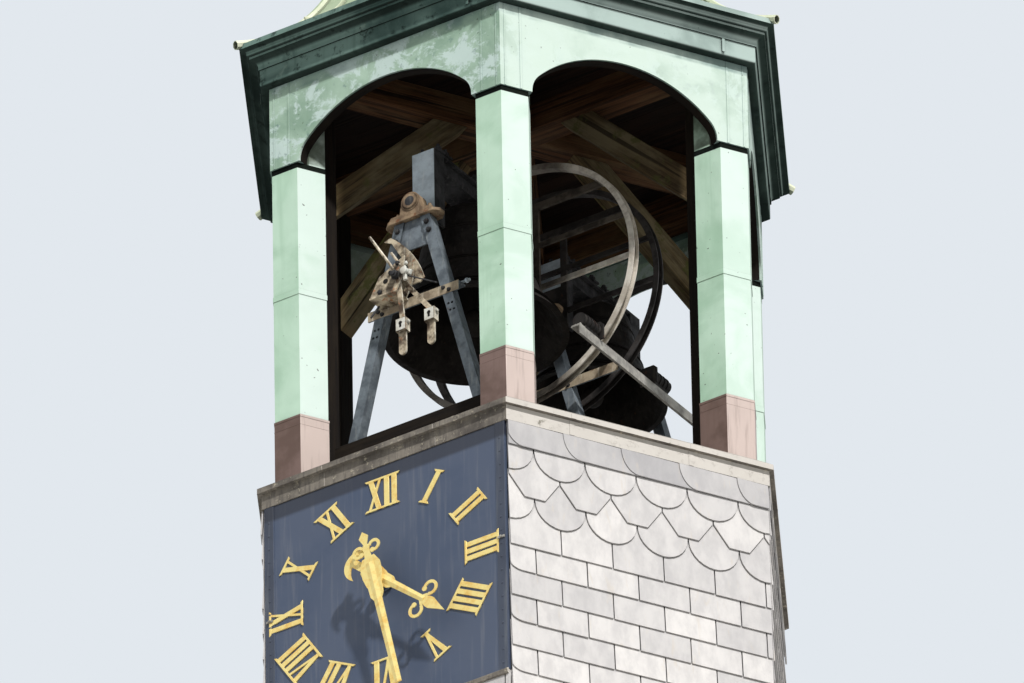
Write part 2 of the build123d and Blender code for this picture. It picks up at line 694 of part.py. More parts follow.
def finial():
    skirt_z = APEX_Z - FINIAL_SKIRT
    neck_z = APEX_Z - FINIAL_NECK_DROP
    stem_z = APEX_Z + FINIAL_NECK_R
    lines = [
        Line((0, 0, skirt_z), (FINIAL_SKIRT_R, 0, skirt_z)),
        Line((FINIAL_SKIRT_R, 0, skirt_z), (FINIAL_NECK_R, 0, neck_z)),
        Line((FINIAL_NECK_R, 0, neck_z), (FINIAL_STEM_R, 0, stem_z)),
        Line((FINIAL_STEM_R, 0, stem_z), (0, 0, stem_z)),
        Line((0, 0, stem_z), (0, 0, skirt_z)),
    ]
    body = revolve(make_face(Wire(lines)), Axis.Z)
    body += Pos(0, 0, APEX_Z + FINIAL_BALL_UP) * Sphere(FINIAL_BALL_R)
    body += Pos(0, 0, APEX_Z + FINIAL_HEIGHT / 2) * Cone(FINIAL_STEM_R, FINIAL_TIP_R, FINIAL_HEIGHT)
    return body - roof_solid(0, 0)


# Timber inside

PLATE_FACE = HEADER_INNER_FACE - PLATE_GAP
TIE_BOTTOM_Z = TIMBER_TOP_Z - TIE_HEIGHT


def wall_plate():
    outer = hexagon(PLATE_FACE / HALF_TURN_COS, PLATE_BOTTOM_Z, PLATE_HEIGHT)
    return outer - hexagon((PLATE_FACE - PLATE_WIDTH) / HALF_TURN_COS, PLATE_BOTTOM_Z, PLATE_HEIGHT)


def tie_beams():
    half = TIE_WIDTH / 2
    reach = (PLATE_FACE - PLATE_WIDTH) / HALF_TURN_COS
    star = None
    for angle in (0, 60, 120):
        beam = Rot(0, 0, angle) * box_at(-reach, reach, -half, half, TIE_BOTTOM_Z, TIMBER_TOP_Z)
        star = beam if star is None else star + beam
    return star & hexagon((PLATE_FACE - PLATE_WIDTH - 1) / HALF_TURN_COS, TIE_BOTTOM_Z, TIE_HEIGHT)


def knee_braces():
    """Six braces at 45 degrees, each rising from a post's core to a tie beam."""
    foot_z = SILL_Z + BRACE_FOOT
    foot_up = BRACE_DEPTH * sqrt(2)
    rise = TIE_BOTTOM_Z - foot_z
    side = outline(
        (CORE_INNER_R, foot_z),
        (CORE_INNER_R, foot_z + foot_up),
        (CORE_INNER_R - rise + foot_up, TIE_BOTTOM_Z),
        (CORE_INNER_R - rise, TIE_BOTTOM_Z),
    )
    return around(upright(side, -BRACE_WIDTH / 2, BRACE_WIDTH / 2))


def ceiling():
    return hexagon(PLATE_FACE / HALF_TURN_COS, TIMBER_TOP_Z, CEILING_THICK)


# Bell frames

AXLE_Z = SILL_Z + AXLE_HEIGHT
BEAM_TOP_Z = SILL_Z + BEAM_TOP
CROSSBAR_Z = SILL_Z + CROSSBAR
HEAD_PLATE_Z = AXLE_Z - BLOCK_SEAT
HEAD_Z = HEAD_PLATE_Z - HEAD_PLATE_THICK
RAIL_TOP_Z = SILL_Z + RAIL_TOP
RAIL_INNER_X = RAIL_X - RAIL_SIZE / 2


def frame_beams():
    half = BEAM_WIDTH / 2
    reach = BEAM_HALF_LENGTH
    beams = [box_at(-reach, reach, y - half, y + half, DECK_Z, BEAM_TOP_Z) for y in FRAME_Y]
    return Compound(children=beams)


def channel_leg(side, y0, y1):
    """A leg of channel section, its web to the front."""
    over = LEG_WIDTH
    slope = (FRAME_FOOT_X - FRAME_HEAD_X) / (HEAD_Z - BEAM_TOP_Z)
    low = (side * (FRAME_FOOT_X + slope * over), BEAM_TOP_Z - over)
    high = (side * (FRAME_HEAD_X - slope * over), HEAD_Z + over)
    leg = upright(bar(*low, *high, LEG_WIDTH), y0, y1)
    return leg - upright(bar(*low, *high, LEG_WIDTH - 2 * FRAME_WEB), y0 + FRAME_WEB, y1 + 1)


def leg_holes(y0):
    """Four bolt holes through each leg's web below the crossbar."""
    slope = (FRAME_FOOT_X - FRAME_HEAD_X) / (HEAD_Z - BEAM_TOP_Z)
    holes = []
    for side in (-1, 1):
        for row in (0, 1):
            z = CROSSBAR_Z - LEG_HOLES_DOWN - row * LEG_HOLE_PITCH
            x = side * (FRAME_HEAD_X + slope * (HEAD_Z - z))
            for column in (-LEG_HOLE_SIDE, LEG_HOLE_SIDE):
                holes.append(rod_y(x + column, z, LEG_HOLE_R, y0 - 1, y0 + FRAME_WEB + 1))
    return holes


def a_frame(y, crossbar_half):
    """Two legs, a crossbar of angle section, a gusset, two foot plates and a head plate."""
    y0 = y - FRAME_DEPTH / 2
    y1 = y + FRAME_DEPTH / 2
    frame = channel_leg(-1, y0, y1) + channel_leg(1, y0, y1)
    top = CROSSBAR_Z + CROSSBAR_HEIGHT
    frame += box_at(-crossbar_half, crossbar_half, y0, y0 + FRAME_WEB, CROSSBAR_Z, top)
    frame += box_at(-crossbar_half, crossbar_half, y0, y1, top - FRAME_WEB, top)
    wide = FRAME_HEAD_X + LEG_WIDTH / 2
    low = wide + GUSSET_DROP * (FRAME_FOOT_X - FRAME_HEAD_X) / (HEAD_Z - BEAM_TOP_Z)
    gusset_z = HEAD_Z - GUSSET_DROP
    gusset = outline((-wide, HEAD_Z), (wide, HEAD_Z), (low, gusset_z), (-low, gusset_z))
    frame += upright(gusset, y0 + FRAME_WEB, y0 + 2 * FRAME_WEB)
    frame &= box_at(-2 * FRAME_FOOT_X, 2 * FRAME_FOOT_X, y0 - 1, y1 + 1, BEAM_TOP_Z, HEAD_Z)
    foot = box_at(
        -FOOT_PLATE_HALF,
        FOOT_PLATE_HALF,
        y0 - FOOT_PLATE_LIP,
        y1 + FOOT_PLATE_LIP,
        BEAM_TOP_Z,
        BEAM_TOP_Z + FOOT_PLATE_THICK,
    )
    for side in (-1, 1):
        frame += Pos(side * FRAME_FOOT_X, 0, 0) * foot
    half = HEAD_PLATE_HALF
    inner = half - HEAD_PLATE_CORNER
    deep = FRAME_DEPTH / 2 + HEAD_PLATE_LIP
    short = deep - HEAD_PLATE_CORNER
    plan = outline(
        (-half, -short),
        (-inner, -deep),
        (inner, -deep),
        (half, -short),
        (half, short),
        (inner, deep),
        (-inner, deep),
        (-half, short),
    )
    return frame + Pos(0, y, HEAD_Z) * extrude(plan, HEAD_PLATE_THICK)


def pillow_block(y0, y1):
    """A cast bearing: foot with two ears, waisted body, round housing with a raised ring."""
    foot_top = HEAD_PLATE_Z + BLOCK_FOOT
    shape = Pos(0, AXLE_Z) * Circle(BLOCK_R)
    shape += outline(
        (-BLOCK_WAIST_HALF, HEAD_PLATE_Z),
        (BLOCK_WAIST_HALF, HEAD_PLATE_Z),
        (BLOCK_R, AXLE_Z),
        (-BLOCK_R, AXLE_Z),
    )
    shape += outline(
        (-BLOCK_FOOT_HALF, HEAD_PLATE_Z),
        (BLOCK_FOOT_HALF, HEAD_PLATE_Z),
        (BLOCK_FOOT_TOP_HALF, foot_top),
        (-BLOCK_FOOT_TOP_HALF, foot_top),
    )
    rim = (y1 - y0) * BLOCK_RIM_SHARE
    block = upright(shape, y0 + rim, y1 - rim)
    block += rod_y(0, AXLE_Z, BLOCK_BORE_RING_R, y0, y1)
    return block - rod_y(0, AXLE_Z, JOURNAL_R + RUNNING_GAP, y0 - 1, y1 + 1)


BLOCKS = (
    (FRAME_Y[0] - BLOCK_FRONT, FRAME_Y[0] + BLOCK_BACK),
    (FRAME_Y[1] - MIDDLE_SPLIT - HALF_BLOCK_DEPTH, FRAME_Y[1] - MIDDLE_SPLIT),
    (FRAME_Y[1] + MIDDLE_SPLIT, FRAME_Y[1] + MIDDLE_SPLIT + HALF_BLOCK_DEPTH),
    (FRAME_Y[2] - HALF_BLOCK_DEPTH, FRAME_Y[2] + HALF_BLOCK_DEPTH),
)


def bearings():
    return Compound(children=[pillow_block(y0, y1) for y0, y1 in BLOCKS])


def side_rails():
    """Angle bars along Y to the posts' cores; the left one starts at the middle frame."""
    z0 = RAIL_TOP_Z - RAIL_SIZE
    half = RAIL_SIZE / 2
    keep = Rot(0, 0, 30) * hexagon(CORE_INNER_R / HALF_TURN_COS, z0 - 1, RAIL_SIZE + 2)
    reach = CORE_INNER_R
    rails = []
    for side, start in ((-1, FRAME_Y[1] - FRAME_DEPTH / 2), (1, RAIL_FRONT_Y)):
        angle = box_at(-half, half, start, reach, z0, RAIL_TOP_Z)
        angle -= box_at(
            -half - 1, half - RAIL_WALL, start - 1, reach + 1, z0 - 1, RAIL_TOP_Z - RAIL_WALL
        )
        angle = Pos(side * RAIL_X, 0, 0) * (angle if side > 0 else angle.mirror(Plane.YZ))
        rails.append(angle & keep)
    return Compound(children=rails)


def bell_motor(y, plate_side):
    """A finned drive motor on a foot, with a clipped plate at the end that drives the wheel."""
    x = RAIL_X
    z = RAIL_TOP_Z + MOTOR_RISE
    y0 = y - MOTOR_LENGTH / 2
    y1 = y + MOTOR_LENGTH / 2
    motor = rod_y(x, z, MOTOR_R - MOTOR_FIN, y0, y1)
    for row in range(1, MOTOR_FINS + 1):
        fin_y = y0 + row * MOTOR_LENGTH / (MOTOR_FINS + 1)
        motor += rod_y(x, z, MOTOR_R, fin_y - MOTOR_FIN, fin_y + MOTOR_FIN)
    foot = MOTOR_FOOT_HALF
    motor += box_at(x - foot, x + foot, y - MOTOR_FOOT / 2, y + MOTOR_FOOT / 2, RAIL_TOP_Z, z)
    half = MOTOR_PLATE_HALF
    clip = half - MOTOR_PLATE_CLIP
    face = outline(
        (-half, -MOTOR_RISE), (half, -MOTOR_RISE), (half, clip), (clip, half), (-clip, half), (-half, clip)
    )
    end = y0 if plate_side < 0 else y1 - MOTOR_PLATE_THICK
    return motor + upright(Pos(x, z) * face, end, end + MOTOR_PLATE_THICK)


def bell_motors():
    return Compound(children=[
        bell_motor(WHEEL_1_Y - MOTOR_1_BACK, 1),
        bell_motor(WHEEL_2_Y + MOTOR_2_AHEAD, -1),
    ])


def hammer(pivot, end_x, end_up, y0):
    """A lever from the pivot to a head block, with a round-ended flat tongue below it."""
    end_z = CROSSBAR_Z + end_up + HEAD_HEIGHT
    middle = y0 + LEVER_THICK / 2
    low = end_z - HEAD_HEIGHT - SHANK_LENGTH
    half = HEAD_WIDTH / 2
    deep = HEAD_DEPTH / 2
    arm = upright(bar(*pivot, end_x, end_z, LEVER_WIDTH), y0, y0 + LEVER_THICK)
    arm += box_at(end_x - half, end_x + half, middle - deep, middle + deep, end_z - HEAD_HEIGHT, end_z)
    half = SHANK_WIDTH / 2
    arm += box_at(end_x - half, end_x + half, y0, y0 + LEVER_THICK, low, end_z - HEAD_HEIGHT)
    return arm + rod_y(end_x, low, half, y0, y0 + LEVER_THICK)


def sickle(pivot, y0):
    """The curved blade that rises past the pivot, and the link that holds it."""
    lines = [
        Line(SICKLE_TIP, SICKLE_OUTER[0]),
        ThreePointArc(*SICKLE_OUTER),
        Line(SICKLE_OUTER[-1], SICKLE_INNER[0]),
        ThreePointArc(*SICKLE_INNER),
        Line(SICKLE_INNER[-1], SICKLE_TIP),
    ]
    blade = Pos(*pivot) * make_face(Wire(lines))
    tail = (pivot[0] + SICKLE_TAIL[0], pivot[1] + SICKLE_TAIL[1])
    arm = upright(blade, y0, y0 + GEAR_CHEEK)
    return arm + upright(bar(*pivot, *tail, LEVER_WIDTH), y0, y0 + GEAR_CHEEK)


def strike_hammers():
    """The striking gear: a cheeked bracket on the crossbar, pull rods, a sickle arm and two hammers."""
    back = FRAME_Y[0] - FRAME_DEPTH / 2
    front = back - GEAR_DEPTH
    rear_cheek = back - GEAR_BACK_GAP
    pivot = (GEAR_PIVOT[0], CROSSBAR_Z + GEAR_PIVOT[1])
    points = [(pivot[0] + x, CROSSBAR_Z + up) for x, up in GEAR_OUTLINE]
    cheek = outline(*points)
    gear = upright(cheek, front, front + GEAR_CHEEK)
    gear += upright(cheek, rear_cheek, rear_cheek + GEAR_CHEEK)
    web_z = points[0][1]
    gear += box_at(points[0][0], points[-1][0], front, back, web_z, web_z + GEAR_CHEEK)
    gear += rod_y(*pivot, GEAR_PIVOT_R, front - GEAR_CHEEK, back)
    for number, (end_x, end_up) in enumerate(LEVER_ENDS):
        lever_y = front + GEAR_CHEEK + LEVER_GAP + number * LEVER_SET
        gear += hammer(pivot, pivot[0] + end_x, end_up, lever_y)
    for x, up, length in PULL_RODS:
        rod = Cylinder(PULL_ROD_R, length, align=(Align.CENTER, Align.CENTER, Align.MIN))
        gear += Pos(pivot[0] + x, front + GEAR_CHEEK / 2, pivot[1] + up) * Rot(0, -PULL_ROD_LEAN, 0) * rod
    return gear + sickle(pivot, rear_cheek + GEAR_CHEEK)


# Bells

def bell_profile(radius):
    """Half section of a bell with its lip at zero height."""
    outer = [(across * radius, 0, up * radius) for up, across in BELL_OUTER]
    inner = [(across * radius, 0, up * radius) for up, across in BELL_INNER]
    crown = (0, 0, outer[-1][2])
    under = (0, 0, inner[0][2])
    lip = (BELL_LIP_INNER * radius, 0, 0)
    crown_lines = [Line(outer[-1], crown), Line(crown, under), Line(under, inner[0])]
    lip_lines = [Line(inner[-1], lip), Line(lip, outer[0])]
    return make_face(Wire(arcs(outer) + crown_lines + arcs(inner) + lip_lines))


def bell(y, radius, drop):
    return Pos(0, y, AXLE_Z - drop) * revolve(bell_profile(radius), Axis.Z)


def yoke(y, radius, drop, crown, arms, ends):
    """A cranked headstock: channel arms that rise from the journals to a beam over the crown."""
    beam_z = AXLE_Z - drop + BELL_HEIGHT * radius + crown
    top = beam_z + YOKE_BEAM
    half = YOKE_WIDTH / 2
    y0 = y - arms[0]
    y1 = y + arms[1]
    frame = box_at(-half, half, y0, y1, beam_z, top)
    for end, inward in ((y0, 1), (y1, -1)):
        a, b = sorted((end, end + inward * YOKE_DEPTH))
        arm = box_at(-half, half, a, b, AXLE_Z - half, beam_z)
        c, d = sorted((end + inward * YOKE_WEB, end + inward * (YOKE_DEPTH + 1)))
        frame += arm - box_at(-half + YOKE_WEB, half - YOKE_WEB, c, d, AXLE_Z - half - 1, beam_z)
    for side in (-1, 1):
        a, b = sorted((side * (half - YOKE_WEB * 2), side * (half + 1)))
        frame -= box_at(a, b, y0 + YOKE_DEPTH, y1 - YOKE_DEPTH, beam_z + YOKE_WEB, top - YOKE_WEB)
    seat = CROWN_SEAT_HALF
    frame += box_at(-seat, seat, y - CROWN_HALF, y + CROWN_HALF, beam_z - crown, beam_z)
    strap = half + BOLT_R
    for strap_y in (y - CROWN_HALF, y + CROWN_HALF):
        near = strap_y - STRAP_WIDTH / 2
        frame += box_at(-strap, strap, near, near + STRAP_WIDTH, top, top + STRAP_THICK)
        for x in (-BOLT_X, BOLT_X):
            frame += Pos(x, strap_y, top + BOLT_UP / 2) * Cylinder(BOLT_R, BOLT_UP)
    frame += rod_y(0, AXLE_Z, JOURNAL_R, ends[0], y0 + 1)
    return frame + rod_y(0, AXLE_Z, JOURNAL_R, y1 - 1, ends[1])


def wheel(y, radius):
    """A swing wheel: rim of outward channel, level bars, uprights and a hub plate."""
    y0 = y - WHEEL_DEPTH / 2
    y1 = y + WHEEL_DEPTH / 2
    floor_r = radius - WHEEL_RIM
    rim = rod_y(0, AXLE_Z, radius, y0, y1) - rod_y(0, AXLE_Z, floor_r, y0 - 1, y1 + 1)
    groove = rod_y(0, AXLE_Z, radius + 1, y0 + WHEEL_WALL, y1 - WHEEL_WALL)
    rim -= groove - rod_y(0, AXLE_Z, floor_r + WHEEL_WALL, y0, y1)
    half = BAR_THICK / 2
    inner = rod_y(0, AXLE_Z, floor_r + WHEEL_WALL / 2, y - half, y + half)
    for up, width in WHEEL_BARS:
        z = AXLE_Z + up
        rim += box_at(-radius, radius, y - half, y + half, z - width / 2, z + width / 2) & inner
    low = AXLE_Z - HUB_HALF
    high = AXLE_Z + WHEEL_BARS[0][0]
    for x in (-UPRIGHT_X, UPRIGHT_X):
        rim += box_at(x - UPRIGHT_WIDTH / 2, x + UPRIGHT_WIDTH / 2, y - half, y + half, low, high)
    rim += box_at(-HUB_HALF, HUB_HALF, y - half, y + half, low, AXLE_Z + HUB_HALF)
    rim += rod_y(0, AXLE_Z, JOURNAL_R * 2, y0, y1)
    return rim - rod_y(0, AXLE_Z, JOURNAL_R, y0 - 1, y1 + 1)


def clapper(y, radius, drop):
    top = AXLE_Z - drop + BELL_CROWN_UNDER * radius
    ball_z = AXLE_Z - drop + CLAPPER_BALL * radius
    rod = Pos(0, y, (top + ball_z) / 2) * Cylinder(CLAPPER_ROD_R, top - ball_z)
    return rod + Pos(0, y, ball_z) * Sphere(radius * CLAPPER_BALL)


def bells():
    large = (BELL_1_Y, BELL_1_R, BELL_1_DROP)
    small = (BELL_2_Y, BELL_2_R, BELL_2_DROP)
    arms = tuple(zip(YOKE_FRONT_REACH, YOKE_REAR_REACH))
    return {
        "large_bell": bell(*large),
        "large_bell_yoke": yoke(*large, BELL_1_CROWN, arms[0], (BLOCKS[0][0], BLOCKS[1][1])),
        "large_bell_wheel": wheel(WHEEL_1_Y, WHEEL_1_R),
        "large_bell_clapper": clapper(*large),
        "small_bell": bell(*small),
        "small_bell_yoke": yoke(*small, BELL_2_CROWN, arms[1], (BLOCKS[2][0], BLOCKS[3][1])),
        "small_bell_wheel": wheel(WHEEL_2_Y, WHEEL_2_R),
        "small_bell_clapper": clapper(*small),
    }


def build():
    nodes = {}
    nodes.update(base_walls())
    nodes["clock_panel"] = clock_panel()
    nodes["clock_boss"] = clock_boss()
    nodes["hour_hand"] = hour_hand()
    nodes["minute_hand"] = minute_hand()
    nodes["sill_band"] = sill_band()
    nodes["sill_cap"] = sill_cap()
    nodes["belfry_floor"] = belfry_floor()
    nodes.update(posts())
    nodes.update(headers())
    nodes["cornice"] = cornice()
    nodes["roof_shell"] = roof_shell()
    nodes["hip_rolls"] = hip_rolls()
    nodes["finial"] = finial()
    nodes["wall_plate"] = wall_plate()
    nodes["tie_beams"] = tie_beams()
    nodes["knee_braces"] = knee_braces()
    nodes["belfry_ceiling"] = ceiling()
    nodes["frame_beams"] = frame_beams()
    nodes["bell_frame_front"] = a_frame(FRAME_Y[0], CROSSBAR_HALF)
    nodes["bell_frame_front"] -= leg_holes(FRAME_Y[0] - FRAME_DEPTH / 2)
    nodes["bell_frame_middle"] = a_frame(FRAME_Y[1], RAIL_INNER_X)
    nodes["bell_frame_rear"] = a_frame(FRAME_Y[2], CROSSBAR_HALF)
    nodes["bell_bearings"] = bearings()
    nodes["side_rails"] = side_rails()
    nodes["bell_motors"] = bell_motors()
    nodes["strike_hammers"] = strike_hammers()
    nodes.update(bells())
    return nodes


os.makedirs("parts", exist_ok=True)
for node, shape in build().items():
    export_step(shape, f"parts/{node}.step")
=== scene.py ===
import logging
import math
import random
from collections.abc import Sequence
from dataclasses import dataclass, field
from enum import Enum

import bmesh
import bpy
from mathutils import Matrix, Vector


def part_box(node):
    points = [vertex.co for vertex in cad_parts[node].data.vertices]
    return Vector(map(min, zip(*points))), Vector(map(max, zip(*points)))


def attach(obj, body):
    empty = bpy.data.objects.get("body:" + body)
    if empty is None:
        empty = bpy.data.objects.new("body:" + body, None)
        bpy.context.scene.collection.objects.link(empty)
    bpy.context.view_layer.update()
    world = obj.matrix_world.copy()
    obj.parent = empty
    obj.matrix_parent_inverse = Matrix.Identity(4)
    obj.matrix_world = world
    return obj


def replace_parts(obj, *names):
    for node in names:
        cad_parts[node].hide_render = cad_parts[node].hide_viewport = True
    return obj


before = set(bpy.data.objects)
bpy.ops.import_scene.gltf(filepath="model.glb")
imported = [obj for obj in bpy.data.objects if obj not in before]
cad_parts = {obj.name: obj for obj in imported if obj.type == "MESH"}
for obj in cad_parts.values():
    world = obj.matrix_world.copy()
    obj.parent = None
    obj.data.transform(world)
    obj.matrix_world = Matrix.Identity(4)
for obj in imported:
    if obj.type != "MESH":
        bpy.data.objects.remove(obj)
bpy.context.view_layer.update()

# Looks of a six-sided ridge turret with an open belfry. Metres, +Z up, the clock wall faces -Y.

log = logging.getLogger("turret")

Colour = tuple[float, float, float, float]
Triple = tuple[float, float, float]
Pair = tuple[float, float]
Pairs = tuple[Pair, ...]
Socket = bpy.types.NodeSocket
TURRET = "turret"
LARGE_BELL = "large_bell"
SMALL_BELL = "small_bell"

# The direction of the side painted as sunlit, in degrees from +X, and the height of the bells' axle.
SUNLIT_SIDE = 345.0
AXLE = 3.860

UP = Vector((0.0, 0.0, 1.0))
TO_FRONT = Vector((0.0, -1.0, 0.0))
TO_RIGHT = Vector((1.0, 0.0, 0.0))

# How far the grain moves as the tone goes from 0 to 1, so that no two pieces have the same pattern.
GRAIN_SHIFT = Vector((17.0, 7.3, 3.1))

# Angles from which an edge is shaded as sharp, and worn round.
SHARP_CORNER = math.radians(32)
BEVELLED_CORNER = math.radians(40)


def paint(red: int, green: int, blue: int) -> Colour:
    """Gives the shader colour of a tone stated as 0 to 255.

    Args:
        red: Red part.
        green: Green part.
        blue: Blue part.

    Returns:
        The linear colour with full cover.
    """
    tone = [value / 255 for value in (red, green, blue)]
    linear = [value / 12.92 if value <= 0.04045 else ((value + 0.055) / 1.055) ** 2.4 for value in tone]
    return (linear[0], linear[1], linear[2], 1.0)


def show(thing: bpy.types.Object) -> None:
    """Puts an object into the scene."""
    bpy.context.scene.collection.objects.link(thing)


# The colour of painted shade in the crevices of iron and steel, and the direction of the side painted in
# shade.
CREVICE_SHADE = paint(24, 20, 17)
SHADED_SIDE = (math.cos(math.radians(200)), math.sin(math.radians(200)), 0.0)


class Side(Enum):
    """The six walls, by the direction that each faces."""

    FRONT = 270
    FRONT_RIGHT = 330
    BACK_RIGHT = 30
    BACK = 90
    BACK_LEFT = 150
    FRONT_LEFT = 210

    @property
    def outward(self) -> Vector:
        """The direction that the wall faces."""
        angle = math.radians(self.value)
        return Vector((math.cos(angle), math.sin(angle), 0.0))

    @property
    def along(self) -> Vector:
        """The direction along the wall, to the right as seen from outside."""
        angle = math.radians(self.value)
        return Vector((-math.sin(angle), math.cos(angle), 0.0))

    def at(self, along: float, out: float, up: float) -> Vector:
        """Gives a point by its place on the wall.

        Args:
            along: Distance from the wall's middle line, to the right.
            out: Distance from the turret's axis.
            up: Height above the foot.

        Returns:
            The point in the shared frame.
        """
        return self.along * along + self.outward * out + UP * up


class Corner(Enum):
    """The six corners, by direction."""

    RIGHT = 0
    BACK_RIGHT = 60
    BACK_LEFT = 120
    LEFT = 180
    FRONT_LEFT = 240
    FRONT_RIGHT = 300

    @property
    def turn(self) -> Matrix:
        """The turn that takes the corner on +X to this one."""
        return Matrix.Rotation(math.radians(self.value), 4, "Z")


class Recipe:
    """One material, put together from nodes around a single shader."""

    def __init__(self, name: str) -> None:
        """Starts an empty material.

        Args:
            name: Name of the material.
        """
        self.material = bpy.data.materials.new(name)
        self.material.use_nodes = True
        self.tree = self.material.node_tree
        self.shader = self.tree.nodes["Principled BSDF"]
        self.where = self.add("ShaderNodeTexCoord").outputs["Object"]

    def add(self, kind: str, **settings: object) -> bpy.types.Node:
        """Adds a node.

        Args:
            kind: Type name of the node.
            settings: Properties to set on it.

        Returns:
            The node.
        """
        node = self.tree.nodes.new(kind)
        for name, value in settings.items():
            setattr(node, name, value)
        return node

    def feed(self, socket: Socket, value: object) -> None:
        """Links or sets one input.

        Args:
            socket: The input.
            value: An output to link, or a plain value.
        """
        if isinstance(value, Socket):
            self.tree.links.new(value, socket)
        else:
            socket.default_value = value

    def fill(self, node: bpy.types.Node, values: dict[str | int, object]) -> None:
        """Links or sets several inputs of one node."""
        for name, value in values.items():
            self.feed(node.inputs[name], value)

    def attribute(self, name: str, output: str = "Fac") -> Socket:
        """Reads a mesh attribute by name."""
        return self.add("ShaderNodeAttribute", attribute_name=name).outputs[output]

    def noise(
        self,
        size: float,
        stretch: Triple = (1.0, 1.0, 1.0),
        detail: float = 4.0,
        rough: float = 0.55,
        warp: float = 0.0,
        where: Socket | None = None,
    ) -> Socket:
        """Adds a cloud pattern.

        Args:
            size: Size of its largest patches in metres.
            stretch: Share of that size along each axis, as a divisor.
            detail: Number of finer layers.
            rough: Strength of the finer layers.
            warp: How far the pattern is bent.
            where: Coordinates to use instead of the object's own.

        Returns:
            The pattern's value, about 0.3 to 0.7.
        """
        scale = self.add("ShaderNodeMapping")
        self.fill(scale, {"Vector": where or self.where, "Scale": [part / size for part in stretch]})
        node = self.add("ShaderNodeTexNoise")
        self.fill(node, {"Vector": scale.outputs["Vector"], "Scale": 1.0})
        self.fill(node, {"Detail": detail, "Roughness": rough, "Distortion": warp})
        return node.outputs["Fac"]

    def between(
        self, value: object, low: float, high: float, start: float = 0.0, end: float = 1.0
    ) -> object:
        """Spreads a value from one span to another with soft ends.

        Args:
            value: The value to spread.
            low: Where the span begins.
            high: Where it ends.
            start: Result at the beginning.
            end: Result at the end.

        Returns:
            The new value.
        """
        node = self.add("ShaderNodeMapRange", interpolation_type="SMOOTHSTEP")
        self.fill(node, {"Value": value, "From Min": low, "From Max": high, "To Min": start, "To Max": end})
        return node.outputs["Result"]

    def work(self, action: str, first: object, second: object) -> Socket:
        """Joins two values, with the result held between 0 and 1.

        Args:
            action: What is done with them, such as MULTIPLY.
            first: First value.
            second: Second value.

        Returns:
            The result.
        """
        node = self.add("ShaderNodeMath", operation=action, use_clamp=True)
        self.fill(node, {0: first, 1: second})
        return node.outputs[0]

    def mix(self, share: object, under: object, over: object) -> Socket:
        """Lays one colour over another.

        Args:
            share: How much of the second colour shows.
            under: First colour.
            over: Second colour.

        Returns:
            The mixed colour.
        """
        node = self.add("ShaderNodeMix", data_type="RGBA")
        self.fill(node, {0: share, 6: under, 7: over})
        return node.outputs[2]

    def facing(self, direction: Triple, low: float, high: float) -> object:
        """Finds faces that look one way.

        Args:
            direction: The direction that they look.
            low: Agreement at which a face begins to count.
            high: Agreement from which it counts in full.

        Returns:
            1 on such faces, 0 on the others.
        """
        agree = self.add("ShaderNodeVectorMath", operation="DOT_PRODUCT")
        self.fill(agree, {0: self.add("ShaderNodeNewGeometry").outputs["Normal"], 1: direction})
        return self.between(agree.outputs["Value"], low, high)

    def painted_sun(self) -> object:
        """Finds the faces toward the sun, for painted sunlight that makes them paler."""
        angle = math.radians(SUNLIT_SIDE)
        return self.facing((math.cos(angle), math.sin(angle), 0.0), 0.35, 0.85)

    def place_on(self, axis: str) -> Socket:
        """Reads the place on one axis.

        Args:
            axis: X, Y or Z.

        Returns:
            The coordinate in metres.
        """
        parts = self.add("ShaderNodeSeparateXYZ")
        self.feed(parts.inputs[0], self.where)
        return parts.outputs[axis]

    def distance(self, counted: Triple, centre: Triple = (0.0, 0.0, 0.0)) -> Socket:
        """Measures the distance from a line along one axis.

        Args:
            counted: 1 for the axes that count, 0 for the line's own.
            centre: A point on the line.

        Returns:
            The distance in metres.
        """
        offset = self.add("ShaderNodeVectorMath", operation="SUBTRACT")
        self.fill(offset, {0: self.where, 1: centre})
        flat = self.add("ShaderNodeVectorMath", operation="MULTIPLY")
        self.fill(flat, {0: offset.outputs["Vector"], 1: counted})
        length = self.add("ShaderNodeVectorMath", operation="LENGTH")
        self.feed(length.inputs[0], flat.outputs["Vector"])
        return length.outputs["Value"]

    def crevices(self, reach: float) -> Socket:
        """Finds corners where shade falls, by ambient occlusion, for painted shade.

        Args:
            reach: How far into a corner it looks, in metres.

        Returns:
            1 in the open, falling to 0 in a crevice.
        """
        node = self.add("ShaderNodeAmbientOcclusion", samples=4)
        node.inputs["Distance"].default_value = reach
        return node.outputs["AO"]

    def shade_crevices(self, colour: object, reach: float) -> Socket:
        """Paints shade into the crevices of iron or steel, looking a reach in metres into them."""
        return self.mix(self.between(self.crevices(reach), 0.3, 0.95, 0.75, 0.0), colour, CREVICE_SHADE)

    def stain(
        self, colour: object, tone: Colour, span: Pair, cover: float, size: float, **cloud: object
    ) -> Socket:
        """Lays a tone over a colour in a cloud pattern.

        Args:
            colour: Colour underneath.
            tone: The tone.
            span: Values of the pattern at which it begins and is full.
            cover: How well it hides the colour, 0 to 1.
            size: Size of its patches in metres.
            cloud: Other settings of the pattern.

        Returns:
            The stained colour.
        """
        return self.mix(self.between(self.noise(size, **cloud), *span, 0.0, cover), colour, tone)

